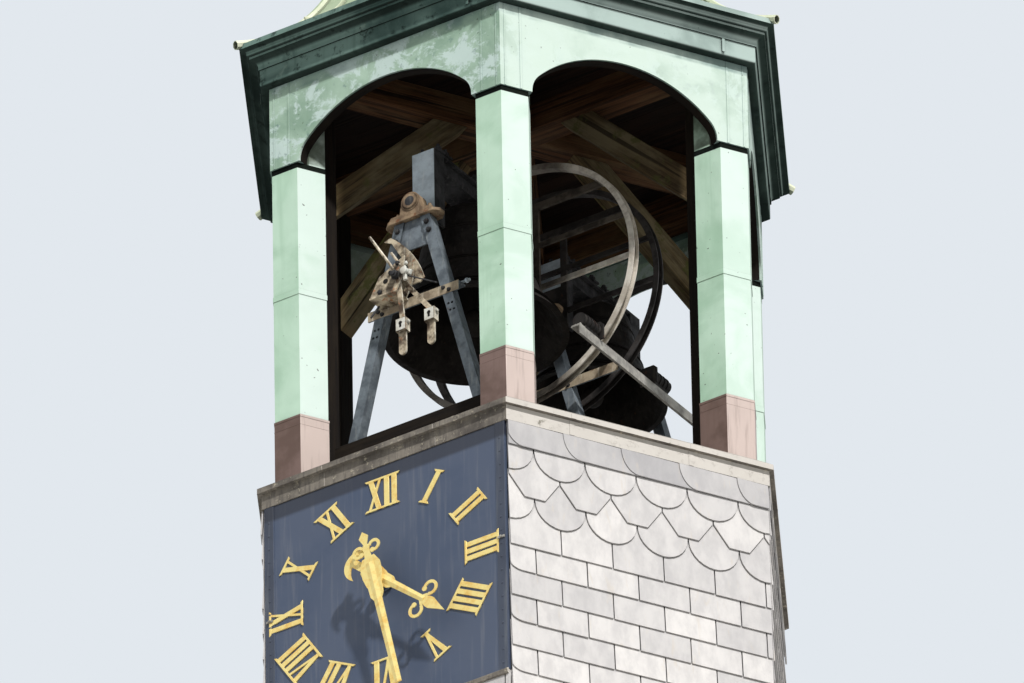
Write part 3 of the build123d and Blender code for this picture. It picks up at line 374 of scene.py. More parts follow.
    def close(
        self,
        colour: object,
        roughness: object,
        metallic: float,
        height: object | None = None,
        depth: float = 0.001,
        shine: float = 0.5,
    ) -> bpy.types.Material:
        """Feeds the shader.

        Args:
            colour: Surface colour.
            roughness: Surface roughness.
            metallic: Share of bare metal.
            height: Pattern that raises the surface.
            depth: Height of that pattern in metres.
            shine: Strength of its gloss.

        Returns:
            The finished material.
        """
        self.fill(self.shader, {"Base Color": colour, "Roughness": roughness})
        self.fill(self.shader, {"Metallic": metallic, "Specular IOR Level": shine})
        if height is not None:
            bump = self.add("ShaderNodeBump")
            self.fill(bump, {"Strength": 1.0, "Distance": depth, "Height": height})
            self.feed(self.shader.inputs["Normal"], bump.outputs["Normal"])
        return self.material


@dataclass(frozen=True)
class Finish:
    """A surface finish, made once and then shared by every piece that has it."""

    name: str
    slot: str

    def make(self, recipe: Recipe) -> bpy.types.Material:
        """Puts the finish together; each kind of finish has its own way."""
        raise NotImplementedError

    def material(self) -> bpy.types.Material:
        """Gives the material, made at its first use."""
        made = bpy.data.materials.get(self.name)
        return made or self.make(Recipe(self.name))


@dataclass(frozen=True)
class Patina(Finish):
    """Copper sheet that has turned green: cloudy, rain-streaked in runs, bleached and soiled in places, with
    painted sunlight on the sunlit side and painted shade on undersides, on one side, above a set height and
    in crevices.
    """

    pale: Colour
    deep: Colour
    painted_sun: Colour
    bleach: Colour
    soil: Colour
    bleached: float
    soiled: float
    underside_shade: float
    side_shade: float = 0.0
    shaded_from: float = 0.0
    shine: float = 0.3
    shaded_share: float = 0.7

    def make(self, recipe: Recipe) -> bpy.types.Material:
        """Puts the patina together.

        Args:
            recipe: The empty material to fill.

        Returns:
            The finished material.
        """
        clouds = recipe.between(recipe.noise(0.5, detail=6.0, warp=0.6), 0.40, 0.64)
        colour = recipe.mix(clouds, self.pale, self.deep)
        down = (1.0, 1.0, 0.045)
        colour = recipe.stain(colour, self.deep, (0.52, 0.74), 0.5, 0.05, stretch=down, detail=3.0)
        patches = recipe.noise(0.16, detail=9.0, rough=0.72, warp=0.4)
        bleached = recipe.between(patches, 1.0 - self.bleached, 1.08 - self.bleached, 0.0, 0.8)
        colour = recipe.mix(bleached, colour, self.bleach)
        soiled = (1.0 - self.soiled, 1.12 - self.soiled)
        colour = recipe.stain(colour, self.soil, soiled, 0.7, 0.07, detail=7.0, rough=0.7)
        # Painted sunlight: faces toward the sun are painted in the sunlit tone.
        sun_strength = recipe.between(clouds, 0.0, 1.0, 0.92, 0.62)
        colour = recipe.mix(recipe.work("MULTIPLY", recipe.painted_sun(), sun_strength), colour, self.painted_sun)
        # Painted shade: faces that look down are darkened.
        painted_shade = recipe.work("MULTIPLY", recipe.facing((0.0, 0.0, -1.0), 0.3, 0.8), self.underside_shade)
        colour = recipe.mix(painted_shade, colour, paint(22, 26, 24))
        # Painted shade on the faces that look toward the shaded side.
        if self.side_shade:
            shaded = recipe.facing(SHADED_SIDE, 0.6, 0.95)
            colour = recipe.mix(recipe.work("MULTIPLY", shaded, self.side_shade), colour, paint(14, 17, 18))
        # Painted shade from a set height upward, in the soil tone, in patches.
        if self.shaded_from:
            start = self.shaded_from
            edge = recipe.between(recipe.place_on("Z"), start, start + 0.02, 0.0, self.shaded_share)
            shade_patches = recipe.between(recipe.noise(0.3, detail=6.0), 0.40, 0.60, self.shaded_share - 0.6, 1.0)
            colour = recipe.mix(recipe.work("MULTIPLY", edge, shade_patches), colour, self.soil)
        # Painted shade in crevices, in the soil tone.
        crevice_shade = recipe.between(recipe.crevices(0.05), 0.35, 0.95, 0.85, 0.0)
        colour = recipe.mix(crevice_shade, colour, self.soil)
        colour = recipe.stain(colour, paint(60, 58, 44), (0.755, 0.79), 0.75, 0.022, detail=1.0)
        rough = recipe.between(patches, 0.3, 0.7, 0.55, 0.8)
        waves = recipe.between(recipe.noise(0.33, detail=2.0), 0.2, 0.8, 0.0, 0.94)
        grain = recipe.between(recipe.noise(0.004, detail=3.0), 0.2, 0.8, 0.0, 0.06)
        return recipe.close(colour, rough, 0.0, recipe.work("ADD", waves, grain), 0.006, self.shine)


@dataclass(frozen=True)
class BrownCopper(Finish):
    """New copper that has gone brown and dull, with painted sunlight making it paler on the side toward the
    sun.
    """

    tone: Colour
    shade: Colour
    painted_sun: Colour

    def make(self, recipe: Recipe) -> bpy.types.Material:
        """Puts the brown copper together.

        Args:
            recipe: The empty material to fill.

        Returns:
            The finished material.
        """
        clouds = recipe.between(recipe.noise(0.18, detail=5.0), 0.38, 0.66)
        colour = recipe.mix(clouds, self.tone, self.shade)
        # Painted sunlight: faces toward the sun are painted paler.
        colour = recipe.mix(recipe.work("MULTIPLY", recipe.painted_sun(), 0.92), colour, self.painted_sun)
        colour = recipe.stain(colour, self.shade, (0.5, 0.72), 0.35, 0.03, stretch=(1.0, 1.0, 0.08))
        rough = recipe.between(clouds, 0.0, 1.0, 0.42, 0.55)
        return recipe.close(colour, rough, 0.15, recipe.noise(0.2, detail=2.0), 0.003)


@dataclass(frozen=True)
class Slate(Finish):
    """Split slate: each one has its own tone, fine layers and a few paler veins, with painted shade in the
    gaps between slates.
    """

    pale: Colour
    dark: Colour
    vein: Colour

    def make(self, recipe: Recipe) -> bpy.types.Material:
        """Puts the slate together.

        Args:
            recipe: The empty material to fill.

        Returns:
            The finished material.
        """
        tone = recipe.attribute("tone")
        colour = recipe.mix(tone, self.dark, self.pale)
        clouds = recipe.noise(0.09, (1.0, 1.0, 0.5), detail=6.0, rough=0.65)
        colour = recipe.mix(recipe.between(clouds, 0.35, 0.68, 0.0, 0.3), colour, self.dark)
        veins = {"stretch": (1.0, 1.0, 0.2), "detail": 5.0, "warp": 1.2}
        colour = recipe.stain(colour, self.vein, (0.60, 0.72), 0.35, 0.05, **veins)
        # Painted shade in the gaps between slates.
        crevice_shade = recipe.between(recipe.crevices(0.016), 0.35, 0.85, 0.9, 0.0)
        colour = recipe.mix(crevice_shade, colour, paint(52, 52, 54))
        layers = recipe.noise(0.03, (1.0, 1.0, 0.6), detail=8.0, rough=0.6)
        rough = recipe.between(clouds, 0.3, 0.7, 0.5, 0.72)
        return recipe.close(colour, rough, 0.0, layers, 0.0022)


@dataclass(frozen=True)
class Weathered(Finish):
    """Lead or board gone grey: streaked, blotched and a little mossy, with painted sunlight on the side
    toward the sun.
    """

    tone: Colour
    shade: Colour
    bloom: Colour
    moss: Colour
    mossy: float
    painted_sun: Colour
    painted_sun_share: float

    def make(self, recipe: Recipe) -> bpy.types.Material:
        """Puts the weathered finish together.

        Args:
            recipe: The empty material to fill.

        Returns:
            The finished material.
        """
        clouds = recipe.between(recipe.noise(0.22, detail=7.0, rough=0.65), 0.36, 0.66)
        colour = recipe.mix(clouds, self.tone, self.shade)
        down = (1.0, 1.0, 0.12)
        colour = recipe.stain(colour, self.shade, (0.48, 0.68), 0.7, 0.018, stretch=down, detail=5.0)
        spots = recipe.between(recipe.noise(0.045, detail=8.0, rough=0.75), 0.56, 0.64, 0.0, 0.8)
        colour = recipe.mix(spots, colour, self.bloom)
        # Painted sunlight: faces toward the sun are painted paler.
        colour = recipe.mix(recipe.work("MULTIPLY", recipe.painted_sun(), self.painted_sun_share), colour, self.painted_sun)
        mossy = (1.0 - self.mossy, 1.1 - self.mossy)
        colour = recipe.stain(colour, self.moss, mossy, 0.8, 0.12, detail=8.0, rough=0.75)
        return recipe.close(colour, recipe.between(clouds, 0.0, 1.0, 0.6, 0.85), 0.0, spots, 0.0015)


@dataclass(frozen=True)
class Enamel(Finish):
    """Old dark paint on sheet, streaked by rain, with a painted shadow along its top edge."""

    tone: Colour
    shade: Colour
    dust: Colour
    shadow_from: float = 1.862

    def make(self, recipe: Recipe) -> bpy.types.Material:
        """Puts the paint together.

        Args:
            recipe: The empty material to fill.

        Returns:
            The finished material.
        """
        clouds = recipe.between(recipe.noise(0.45, detail=5.0), 0.36, 0.66)
        colour = recipe.mix(clouds, self.tone, self.shade)
        down = (1.0, 1.0, 0.06)
        colour = recipe.stain(colour, self.dust, (0.5, 0.75), 0.45, 0.03, stretch=down, detail=3.0)
        colour = recipe.stain(colour, self.dust, (0.64, 0.72), 0.5, 0.012, detail=6.0, rough=0.8)
        # Painted shadow: darker from a set height upward, under the sill.
        painted_shadow = recipe.between(recipe.place_on("Z"), self.shadow_from, self.shadow_from + 0.030, 0.0, 0.80)
        colour = recipe.mix(painted_shadow, colour, paint(34, 36, 46))
        rough = recipe.between(clouds, 0.0, 1.0, 0.42, 0.58)
        return recipe.close(colour, rough, 0.0, recipe.noise(0.4, detail=2.0), 0.003)


@dataclass(frozen=True)
class Gilding(Finish):
    """Gold leaf, brighter and redder in patches."""

    leaf: Colour
    worn: Colour

    def make(self, recipe: Recipe) -> bpy.types.Material:
        """Puts the gilding together.

        Args:
            recipe: The empty material to fill.

        Returns:
            The finished material.
        """
        colour = recipe.stain(self.leaf, self.worn, (0.42, 0.70), 0.8, 0.06, detail=7.0, rough=0.7)
        rough = recipe.between(recipe.noise(0.02, detail=4.0), 0.3, 0.7, 0.34, 0.52)
        return recipe.close(colour, rough, 0.25, recipe.noise(0.012, detail=4.0), 0.0008)


@dataclass(frozen=True)
class Timber(Finish):
    """Old rough timber; its grain follows each beam by the beam's own coordinates."""

    tone: Colour
    shade: Colour
    grey: Colour
    moss: Colour
    mossy: float
    paler_from: float = 0.0

    def make(self, recipe: Recipe) -> bpy.types.Material:
        """Puts the timber together.

        Args:
            recipe: The empty material to fill.

        Returns:
            The finished material.
        """
        along = recipe.attribute("grain", "Vector")
        fibre = recipe.noise(0.02, (0.03, 1.0, 1.0), detail=6.0, rough=0.7, warp=0.3, where=along)
        colour = recipe.mix(recipe.between(fibre, 0.35, 0.65), self.shade, self.tone)
        patches = recipe.noise(0.25, (0.3, 1.0, 1.0), detail=6.0, rough=0.65, where=along)
        colour = recipe.mix(recipe.between(patches, 0.46, 0.66, 0.0, 0.75), colour, self.grey)
        cracks = recipe.noise(0.05, (0.02, 1.0, 1.0), detail=2.0, where=along)
        split = recipe.between(cracks, 0.60, 0.64)
        colour = recipe.mix(recipe.work("MULTIPLY", split, 0.8), colour, paint(14, 10, 7))
        mossy = (1.0 - self.mossy, 1.1 - self.mossy)
        colour = recipe.stain(colour, self.moss, mossy, 0.85, 0.14, detail=8.0, rough=0.75)
        tone = recipe.attribute("tone")
        colour = recipe.mix(recipe.between(tone, 0.0, 1.0, 0.45, 0.0), colour, self.shade)
        # Paler towards the outer ends, near the arches: partly bleached wood, partly painted sunlight.
        if self.paler_from:
            start = self.paler_from
            end = recipe.between(recipe.distance((1.0, 1.0, 0.0)), start, start + 0.06, 0.0, 0.7)
            worn = recipe.work("MULTIPLY", end, recipe.between(fibre, 0.3, 0.6, 0.5, 1.0))
            colour = recipe.mix(worn, colour, paint(158, 134, 98))
        height = recipe.work("SUBTRACT", fibre, recipe.work("MULTIPLY", split, 0.5))
        return recipe.close(colour, 0.85, 0.0, height, 0.004, 0.15)


@dataclass(frozen=True)
class Metalwork(Finish):
    """Painted, galvanised or uncoated steel and iron with rust, painted sunlight on the side toward the sun
    and painted shade in crevices.
    """

    tone: Colour
    shade: Colour
    rust: Colour
    rusted: float
    scuff: Colour
    metallic: float = 0.05
    roughness: float = 0.5
    shine: float = 0.4
    painted_sun_share: float = 0.0

    def make(self, recipe: Recipe) -> bpy.types.Material:
        """Puts the metal together.

        Args:
            recipe: The empty material to fill.

        Returns:
            The finished material.
        """
        clouds = recipe.noise(0.09, detail=7.0, rough=0.65)
        colour = recipe.mix(recipe.between(clouds, 0.36, 0.64), self.tone, self.shade)
        colour = recipe.stain(colour, self.scuff, (0.55, 0.72), 0.5, 0.02, stretch=(1.0, 1.0, 0.12))
        rust = recipe.noise(0.05, detail=9.0, rough=0.75, warp=0.4)
        spread = recipe.between(rust, 1.0 - self.rusted, 1.1 - self.rusted, 0.0, 0.9)
        colour = recipe.mix(spread, colour, self.rust)
        # Painted sunlight: the scuff tone on faces toward the sun, less over rust.
        if self.painted_sun_share:
            sun_share = recipe.between(rust, 0.40, 0.55, self.painted_sun_share, 0.2)
            worn = recipe.work("MULTIPLY", recipe.painted_sun(), sun_share)
            colour = recipe.mix(worn, colour, self.scuff)
        # Painted shade in crevices.
        colour = recipe.shade_crevices(colour, 0.025)
        rough = recipe.between(rust, 0.35, 0.65, self.roughness, min(1.0, self.roughness + 0.25))
        return recipe.close(colour, rough, self.metallic, rust, 0.0012, self.shine)


@dataclass(frozen=True)
class WheelSteel(Finish):
    """A swing wheel: bars dark with age; the rim and a band of the bar near the axle are painted pale on the
    right side only, as painted sunlight.
    """

    rim: Colour
    rim_shade: Colour
    bar: Colour
    bar_shade: Colour
    radius: float
    sunlit_from: float = 0.24

    def make(self, recipe: Recipe) -> bpy.types.Material:
        """Puts the wheel's steel together.

        Args:
            recipe: The empty material to fill.

        Returns:
            The finished material.
        """
        # Painted sunlight: the rim and a band of the bar near the axle are painted pale, only on the right
        # side.
        reach = recipe.distance((1.0, 0.0, 1.0), (0.0, 0.0, AXLE))
        worn = recipe.between(reach, self.radius - 0.045, self.radius - 0.030)
        up = recipe.place_on("Z")
        low = recipe.between(up, AXLE - 0.060, AXLE - 0.056)
        high = recipe.between(up, AXLE - 0.024, AXLE - 0.020, 1.0, 0.0)
        worn = recipe.work("MAXIMUM", worn, recipe.work("MULTIPLY", low, high))
        start = self.sunlit_from
        sunlit_right = recipe.between(recipe.place_on("X"), start, start + 0.20, 0.12, 1.0)
        worn = recipe.work("MULTIPLY", worn, sunlit_right)
        clouds = recipe.noise(0.11, detail=7.0, rough=0.65)
        patches = recipe.between(clouds, 0.40, 0.62)
        pale = recipe.mix(patches, self.rim, self.rim_shade)
        dark = recipe.mix(patches, self.bar, self.bar_shade)
        colour = recipe.mix(worn, dark, pale)
        colour = recipe.stain(colour, paint(96, 64, 44), (0.60, 0.70), 0.8, 0.05, detail=9.0, rough=0.75)
        # Painted shade in crevices.
        colour = recipe.shade_crevices(colour, 0.02)
        return recipe.close(colour, recipe.between(clouds, 0.35, 0.65, 0.5, 0.7), 0.1, clouds, 0.0012, 0.25)


SOIL = paint(84, 92, 78)
# Near-black copper for the band under the headers: painted shadow.
HEADER_SHADOW = Patina(
    "painted_shade", "copper_green", pale=paint(30, 34, 31), deep=paint(18, 21, 20), painted_sun=paint(30, 34, 30),
    bleach=paint(44, 50, 44), soil=paint(14, 15, 14), bleached=0.3, soiled=0.4, underside_shade=0.5, shine=0.0,
)
ROOF_COPPER = Patina(
    "roof_copper", "copper_roof", pale=paint(220, 226, 196), deep=paint(172, 188, 156),
    painted_sun=paint(240, 240, 212), bleach=paint(230, 232, 210), soil=SOIL, bleached=0.42, soiled=0.36,
    underside_shade=0.5,
)
# The post copper takes painted shade from 4.215 m up, under the headers.
POST_COPPER = Patina(
    "post_copper", "copper_green", pale=paint(204, 233, 209), deep=paint(176, 210, 182),
    painted_sun=paint(224, 239, 229), bleach=paint(222, 238, 224), soil=SOIL, bleached=0.33, soiled=0.29,
    underside_shade=0.2, shaded_from=4.215, shaded_share=0.95,
)
# The frieze copper takes painted shade from 4.69 m up, under the cornice.
FRIEZE_COPPER = Patina(
    "frieze_copper", "copper_green", pale=paint(180, 206, 184), deep=paint(142, 170, 148),
    painted_sun=paint(214, 230, 217), bleach=paint(212, 230, 224), soil=paint(104, 130, 126), bleached=0.53,
    soiled=0.43, underside_shade=0.6, shaded_from=4.69,
)
# The cornice copper takes strong painted shade on undersides and on the side away from the light.
CORNICE_COPPER = Patina(
    "cornice_copper", "copper_green", pale=paint(122, 148, 138), deep=paint(72, 94, 88),
    painted_sun=paint(188, 205, 197), bleach=paint(132, 154, 142), soil=paint(34, 40, 38), bleached=0.38,
    soiled=0.45, underside_shade=0.85, side_shade=0.94, shine=0.0,
)
BROWN_COPPER = BrownCopper(
    "brown_copper", "copper_roof", tone=paint(126, 102, 93), shade=paint(100, 78, 68),
    painted_sun=paint(206, 187, 177),
)
SLATE = Slate(
    "slate", "slate_wall", pale=paint(226, 221, 216), dark=paint(150, 148, 150),
    vein=paint(206, 194, 176),
)
LEAD = Weathered(
    "sill_lead", "lead_sill", tone=paint(134, 126, 114), shade=paint(84, 78, 72),
    bloom=paint(188, 178, 156), moss=paint(84, 78, 56), mossy=0.38, painted_sun=paint(220, 213, 203),
    painted_sun_share=0.85,
)
WALL_BOARD = Weathered(
    "wall_board", "slate_wall", tone=paint(54, 51, 48), shade=paint(38, 36, 35), bloom=paint(66, 62, 58),
    moss=paint(50, 48, 40), mossy=0.30, painted_sun=paint(66, 62, 58), painted_sun_share=0.0,
)
DIAL_PAINT = Enamel(
    "dial_paint", "dial_enamel", tone=paint(78, 88, 108), shade=paint(70, 82, 104),
    dust=paint(112, 116, 126),
)
FOLD_PAINT = Enamel(
    "fold_paint", "dial_enamel", tone=paint(66, 73, 88), shade=paint(54, 60, 74),
    dust=paint(120, 124, 128),
)
GILT = Gilding(
    "gold_leaf", "gilt", leaf=paint(255, 232, 150), worn=paint(240, 190, 90),
)
TIMBER = Timber(
    "belfry_timber", "timber", tone=paint(96, 64, 40), shade=paint(40, 25, 16), grey=paint(108, 84, 58),
    moss=paint(78, 80, 44), mossy=0.34,
)
BRACE_TIMBER = Timber(
    "brace_timber", "timber", tone=paint(116, 98, 68), shade=paint(52, 40, 27), grey=paint(148, 136, 106),
    moss=paint(92, 96, 50), mossy=0.47, paler_from=1.10,
)
FOOT_TIMBER = Timber(
    "foot_timber", "timber", tone=paint(34, 26, 18), shade=paint(17, 12, 9), grey=paint(46, 38, 28),
    moss=paint(34, 32, 20), mossy=0.34,
)
LINING = Timber(
    "arch_lining_board", "timber", tone=paint(28, 21, 16), shade=paint(15, 11, 9), grey=paint(42, 33, 24),
    moss=paint(30, 27, 18), mossy=0.3,
)
BOARDS = Timber(
    "ceiling_board", "timber", tone=paint(36, 22, 15), shade=paint(16, 10, 7), grey=paint(48, 33, 24),
    moss=paint(34, 30, 20), mossy=0.28,
)
FRAME_STEEL = Metalwork(
    "frame_steel", "steel", tone=paint(120, 128, 134), shade=paint(86, 93, 99), rust=paint(112, 74, 50),
    rusted=0.37, metallic=0.15, scuff=paint(160, 162, 158),
)
GALVANISED = Metalwork(
    "galvanised_steel", "steel", tone=paint(186, 182, 172), shade=paint(140, 136, 130),
    rust=paint(120, 92, 70), rusted=0.36, metallic=0.2, scuff=paint(210, 204, 192),
)
PALE_STEEL = Metalwork(
    "pale_steel", "steel", tone=paint(206, 217, 224), shade=paint(178, 188, 195),
    rust=paint(130, 108, 88), rusted=0.31, metallic=0.1, scuff=paint(214, 218, 220),
)
DARK_STEEL = Metalwork(
    "dark_steel", "steel", tone=paint(70, 69, 70), shade=paint(42, 41, 42), rust=paint(92, 60, 42),
    rusted=0.38, metallic=0.1, roughness=0.6, scuff=paint(104, 101, 98), shine=0.25,
)
CAST_IRON = Metalwork(
    "bearing_iron", "steel", tone=paint(158, 134, 106), shade=paint(100, 80, 62), rust=paint(120, 74, 46),
    rusted=0.46, roughness=0.7, scuff=paint(188, 168, 138),
)
BAR_RUST = Metalwork(
    "crossbar_paint", "steel", tone=paint(186, 170, 144), shade=paint(134, 118, 98),
    rust=paint(122, 84, 58), rusted=0.42, roughness=0.65, scuff=paint(222, 212, 192), painted_sun_share=0.8,
)
GEAR_PAINT = Metalwork(
    "gear_paint", "steel", tone=paint(214, 198, 170), shade=paint(74, 58, 42), rust=paint(182, 108, 60),
    rusted=0.43, roughness=0.55, scuff=paint(250, 242, 224), painted_sun_share=0.85,
)
HAMMER_PAINT = Metalwork(
    "hammer_paint", "steel", tone=paint(240, 240, 230), shade=paint(206, 200, 186),
    rust=paint(160, 96, 54), rusted=0.38, scuff=paint(246, 246, 238), painted_sun_share=0.9,
)
BELL_IRON = Metalwork(
    "bell_black_iron", "bell_iron", tone=paint(40, 36, 33), shade=paint(26, 23, 21),
    rust=paint(66, 44, 32), rusted=0.38, metallic=0.0, roughness=0.6, scuff=paint(58, 53, 48), shine=0.12,
)
# The rim tones are the painted sunlight of the wheels; the bar tones are their steel.
LARGE_WHEEL = WheelSteel(
    "large_wheel_steel", "steel", rim=paint(240, 232, 218), rim_shade=paint(198, 188, 172),
    bar=paint(92, 84, 74), bar_shade=paint(58, 51, 45), radius=0.780,
)
SMALL_WHEEL = WheelSteel(
    "small_wheel_steel", "steel", rim=paint(74, 70, 68), rim_shade=paint(48, 45, 44),
    bar=paint(62, 57, 54), bar_shade=paint(38, 35, 33), radius=0.760,
)
MOTOR_PAINT = Metalwork(
    "drive_motor_paint", "motor_paint", tone=paint(50, 47, 45), shade=paint(32, 30, 29),
    rust=paint(88, 56, 38), rusted=0.42, roughness=0.6, scuff=paint(84, 78, 70), shine=0.2,
)


@dataclass
class Pile:
    """Corners and faces gathered for one mesh, with each piece's tone and its own grain."""

    corners: list[Vector] = field(default_factory=list)
    faces: list[tuple[int, ...]] = field(default_factory=list)
    tones: list[float] = field(default_factory=list)
    grain: list[Vector] = field(default_factory=list)

    def skin(
        self,
        rings: list[list[Vector]],
        tone: float = 0.5,
        grain: list[list[Vector]] | None = None,
        capped: bool = True,
    ) -> None:
        """Skins rings of equal count, one after the other.

        Args:
            rings: The rings of corners.
            tone: Tone of the piece, 0 to 1.
            grain: Coordinates along the grain for each corner, if it has any.
            capped: Whether the first and last ring are closed.
        """
        start = len(self.corners)
        count = len(rings[0])
        for number, ring in enumerate(rings):
            self.corners.extend(ring)
            self.grain.extend(grain[number] if grain else ring)
        faces = []
        for row in range(len(rings) - 1):
            for place in range(count):
                low = start + row * count
                after = (place + 1) % count
                faces.append((low + place, low + after, low + count + after, low + count + place))
        if capped:
            faces.append(tuple(start + place for place in reversed(range(count))))
            faces.append(tuple(start + (len(rings) - 1) * count + place for place in range(count)))
        self.faces.extend(faces)
        self.tones.extend([tone] * len(faces))

    def prism(
        self, outline: list[Vector], push: Vector, tone: float = 0.5, axis: Vector | None = None
    ) -> None:
        """Adds an outline pushed straight along one direction.

        Args:
            outline: Its corners.
            push: How far and where it is pushed.
            tone: Tone of the piece, 0 to 1.
            axis: Direction of its grain, if it has any.
        """
        rings = [outline, [corner + push for corner in outline]]
        grain = [[along_grain(corner, axis, tone) for corner in ring] for ring in rings] if axis else None
        self.skin(rings, tone, grain)

    def beam(
        self,
        start: Vector,
        end: Vector,
        width: float,
        depth: float,
        facing: Vector,
        chamfer: float = 0.006,
        tone: float = 0.5,
    ) -> None:
        """Adds a squared bar or beam with small chamfers.

        Args:
            start: Middle of its first end.
            end: Middle of its second end.
            width: Size across the facing direction.
            depth: Size along the facing direction.
            facing: Direction that its broad side faces.
            chamfer: Size of the chamfers.
            tone: Tone of the piece, 0 to 1.
        """
        axis = (end - start).normalized()
        across = axis.cross(facing).normalized()
        square = across.cross(axis).normalized()
        a, b, c = width / 2, depth / 2, chamfer
        half = [(-a + c, -b), (a - c, -b), (a, -b + c), (a, b - c)]
        section = half + [(-x, -y) for x, y in half]
        shift = GRAIN_SHIFT * tone + TO_RIGHT * start.z
        rings, grain = [], []
        for place in (start, end):
            rings.append([place + across * x + square * y for x, y in section])
            length = (place - start).length
            grain.append([Vector((length, x, y)) + shift for x, y in section])
        self.skin(rings, tone, grain)

    def rod(self, start: Vector, end: Vector, radius: float, sides: int = 16, tone: float = 0.5) -> None:
        """Adds a round or many-sided rod between two points."""
        axis = (end - start).normalized()
        self.skin([ring_about(start, axis, radius, sides), ring_about(end, axis, radius, sides)], tone)

    def turned(self, foot: Vector, axis: Vector, profile: Sequence[Pair], sides: int = 24) -> None:
        """Adds a turned piece.

        Args:
            foot: Where the axis starts.
            axis: Its direction.
            profile: Height and radius of each ring.
            sides: Number of sides around.
        """
        axis = axis.normalized()
        self.skin([ring_about(foot + axis * up, axis, radius, sides) for up, radius in profile])

    def hoop(self, centre: Vector, section: list[Pair], axis: Vector = UP, sides: int = 64) -> None:
        """Adds a closed ring.

        Args:
            centre: Its centre.
            section: Radius and height of each corner of its section.
            axis: The direction that it turns about.
            sides: Number of steps around.
        """
        start = len(self.corners)
        count = len(section)
        for step, spoke in enumerate(ring_about(Vector(), axis, 1.0, sides)):
            ring = [centre + spoke * radius + axis * up for radius, up in section]
            self.corners.extend(ring)
            self.grain.extend(ring)
            after = (step + 1) % sides
            for place in range(count):
                low, high = start + step * count, start + after * count
                beside = (place + 1) % count
                self.faces.append((low + place, low + beside, high + beside, high + place))
                self.tones.append(0.5)

    def disc(self, seat: Vector, axis: Vector, radius: float, thick: float, sides: int = 16) -> None:
        """Adds a round or many-sided disc on a surface."""
        self.turned(seat, axis, [(0.0, radius), (thick, radius)], sides)

    def plate(self, left: float, right: float, low: float, high: float, y: float, thick: float) -> None:
        """Adds a flat plate on a face that looks to the front.

        Args:
            left: Its left edge.
            right: Its right edge.
            low: Height of its foot.
            high: Height of its head.
            y: Triple of the face.
            thick: How far the plate stands off it.
        """
        corners = ((left, low), (right, low), (right, high), (left, high))
        self.prism([Vector((x, y, z)) for x, z in corners], TO_FRONT * thick)

    def bolt(self, seat: Vector, axis: Vector, radius: float, reach: float = 0.0) -> None:
        """Adds a washer, a six-sided nut and the bolt's end above it.

        Args:
            seat: Point on the surface that it clamps.
            axis: Direction that it stands out.
            radius: Radius of the bolt.
            reach: How far its thread stands past the nut.
        """
        self.disc(seat, axis, radius * 2.1, radius * 0.3)
        nut = [(radius * 0.3, radius * 1.75), (radius * 1.7, radius * 1.75), (radius * 1.9, radius * 1.4)]
        self.turned(seat, axis, nut, 6)
        self.turned(seat, axis, [(radius * 1.7, radius), (radius * 2.2 + reach, radius)], 12)

    def lay(
        self, name: str, finish: Finish, body: str = TURRET, bevel: float = 0.0, smooth: bool = True
    ) -> bpy.types.Object:
        """Makes the object.

        Args:
            name: Name of the piece.
            finish: Its finish.
            body: The body that it rides on.
            bevel: Width of the worn edges, or 0.
            smooth: Whether faces that meet at a low angle are shaded as one.

        Returns:
            The object.
        """
        mesh = bpy.data.meshes.new(name)
        mesh.from_pydata([tuple(corner) for corner in self.corners], [], self.faces)
        tones = mesh.attributes.new("tone", "FLOAT", "FACE")
        tones.data.foreach_set("value", self.tones)
        grain = mesh.attributes.new("grain", "FLOAT_VECTOR", "POINT")
        grain.data.foreach_set("vector", [part for corner in self.grain for part in corner])
        mesh.materials.append(finish.material())
        shell = bmesh.new()
        shell.from_mesh(mesh)
        bmesh.ops.recalc_face_normals(shell, faces=shell.faces)
        shell.to_mesh(mesh)
        shell.free()
        if smooth:
            mesh.shade_smooth()
            mesh.set_sharp_from_angle(angle=SHARP_CORNER)
        piece = bpy.data.objects.new(name, mesh)
        show(piece)
        if bevel:
            edges = piece.modifiers.new("worn_edges", "BEVEL")
            edges.width = bevel
            edges.segments = 2
            edges.limit_method = "ANGLE"
            edges.angle_limit = BEVELLED_CORNER
        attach(piece, body)
        log.info("%s: %d faces on %s", name, len(self.faces), body)
        return piece


def along_grain(corner: Vector, axis: Vector, tone: float) -> Vector:
    """Gives a corner's place along and across a grain.

    Args:
        corner: The corner.
        axis: Direction of the grain.
        tone: Tone of the piece, which also shifts the pattern.

    Returns:
        Its distance along the grain and its two distances across it.
    """
    across = axis.cross(UP).normalized() if abs(axis.z) < 0.9 else TO_RIGHT
    square = axis.cross(across)
    return Vector((corner.dot(axis), corner.dot(across), corner.dot(square))) + GRAIN_SHIFT * tone


def ring_about(centre: Vector, axis: Vector, radius: float, sides: int) -> list[Vector]:
    """Gives the corners of a ring.

    Args:
        centre: Its centre.
        axis: The direction that it turns about.
        radius: Its radius.
        sides: Number of corners.

    Returns:
        The corners in order.
    """
    helper = UP if abs(axis.z) < 0.9 else TO_RIGHT
    across = axis.cross(helper).normalized()
    up = axis.cross(across).normalized()
    steps = [2 * math.pi * number / sides for number in range(sides)]
    return [centre + (across * math.cos(step) + up * math.sin(step)) * radius for step in steps]


def quarter_curve(left: float, foot: float, wide: float, tall: float) -> list[Pair]:
    """Draws a quarter of an oval that takes off a lower left corner.

    Args:
        left: Where the curve starts, at its upper end.
        foot: Height that it ends at.
        wide: Its width.
        tall: Its height.

    Returns:
        Its points from the upper to the lower end.
    """
    steps = [math.pi / 2 * number / 8 for number in range(9)]
    return [(left + wide * (1 - math.cos(step)), foot + tall * (1 - math.sin(step))) for step in steps]


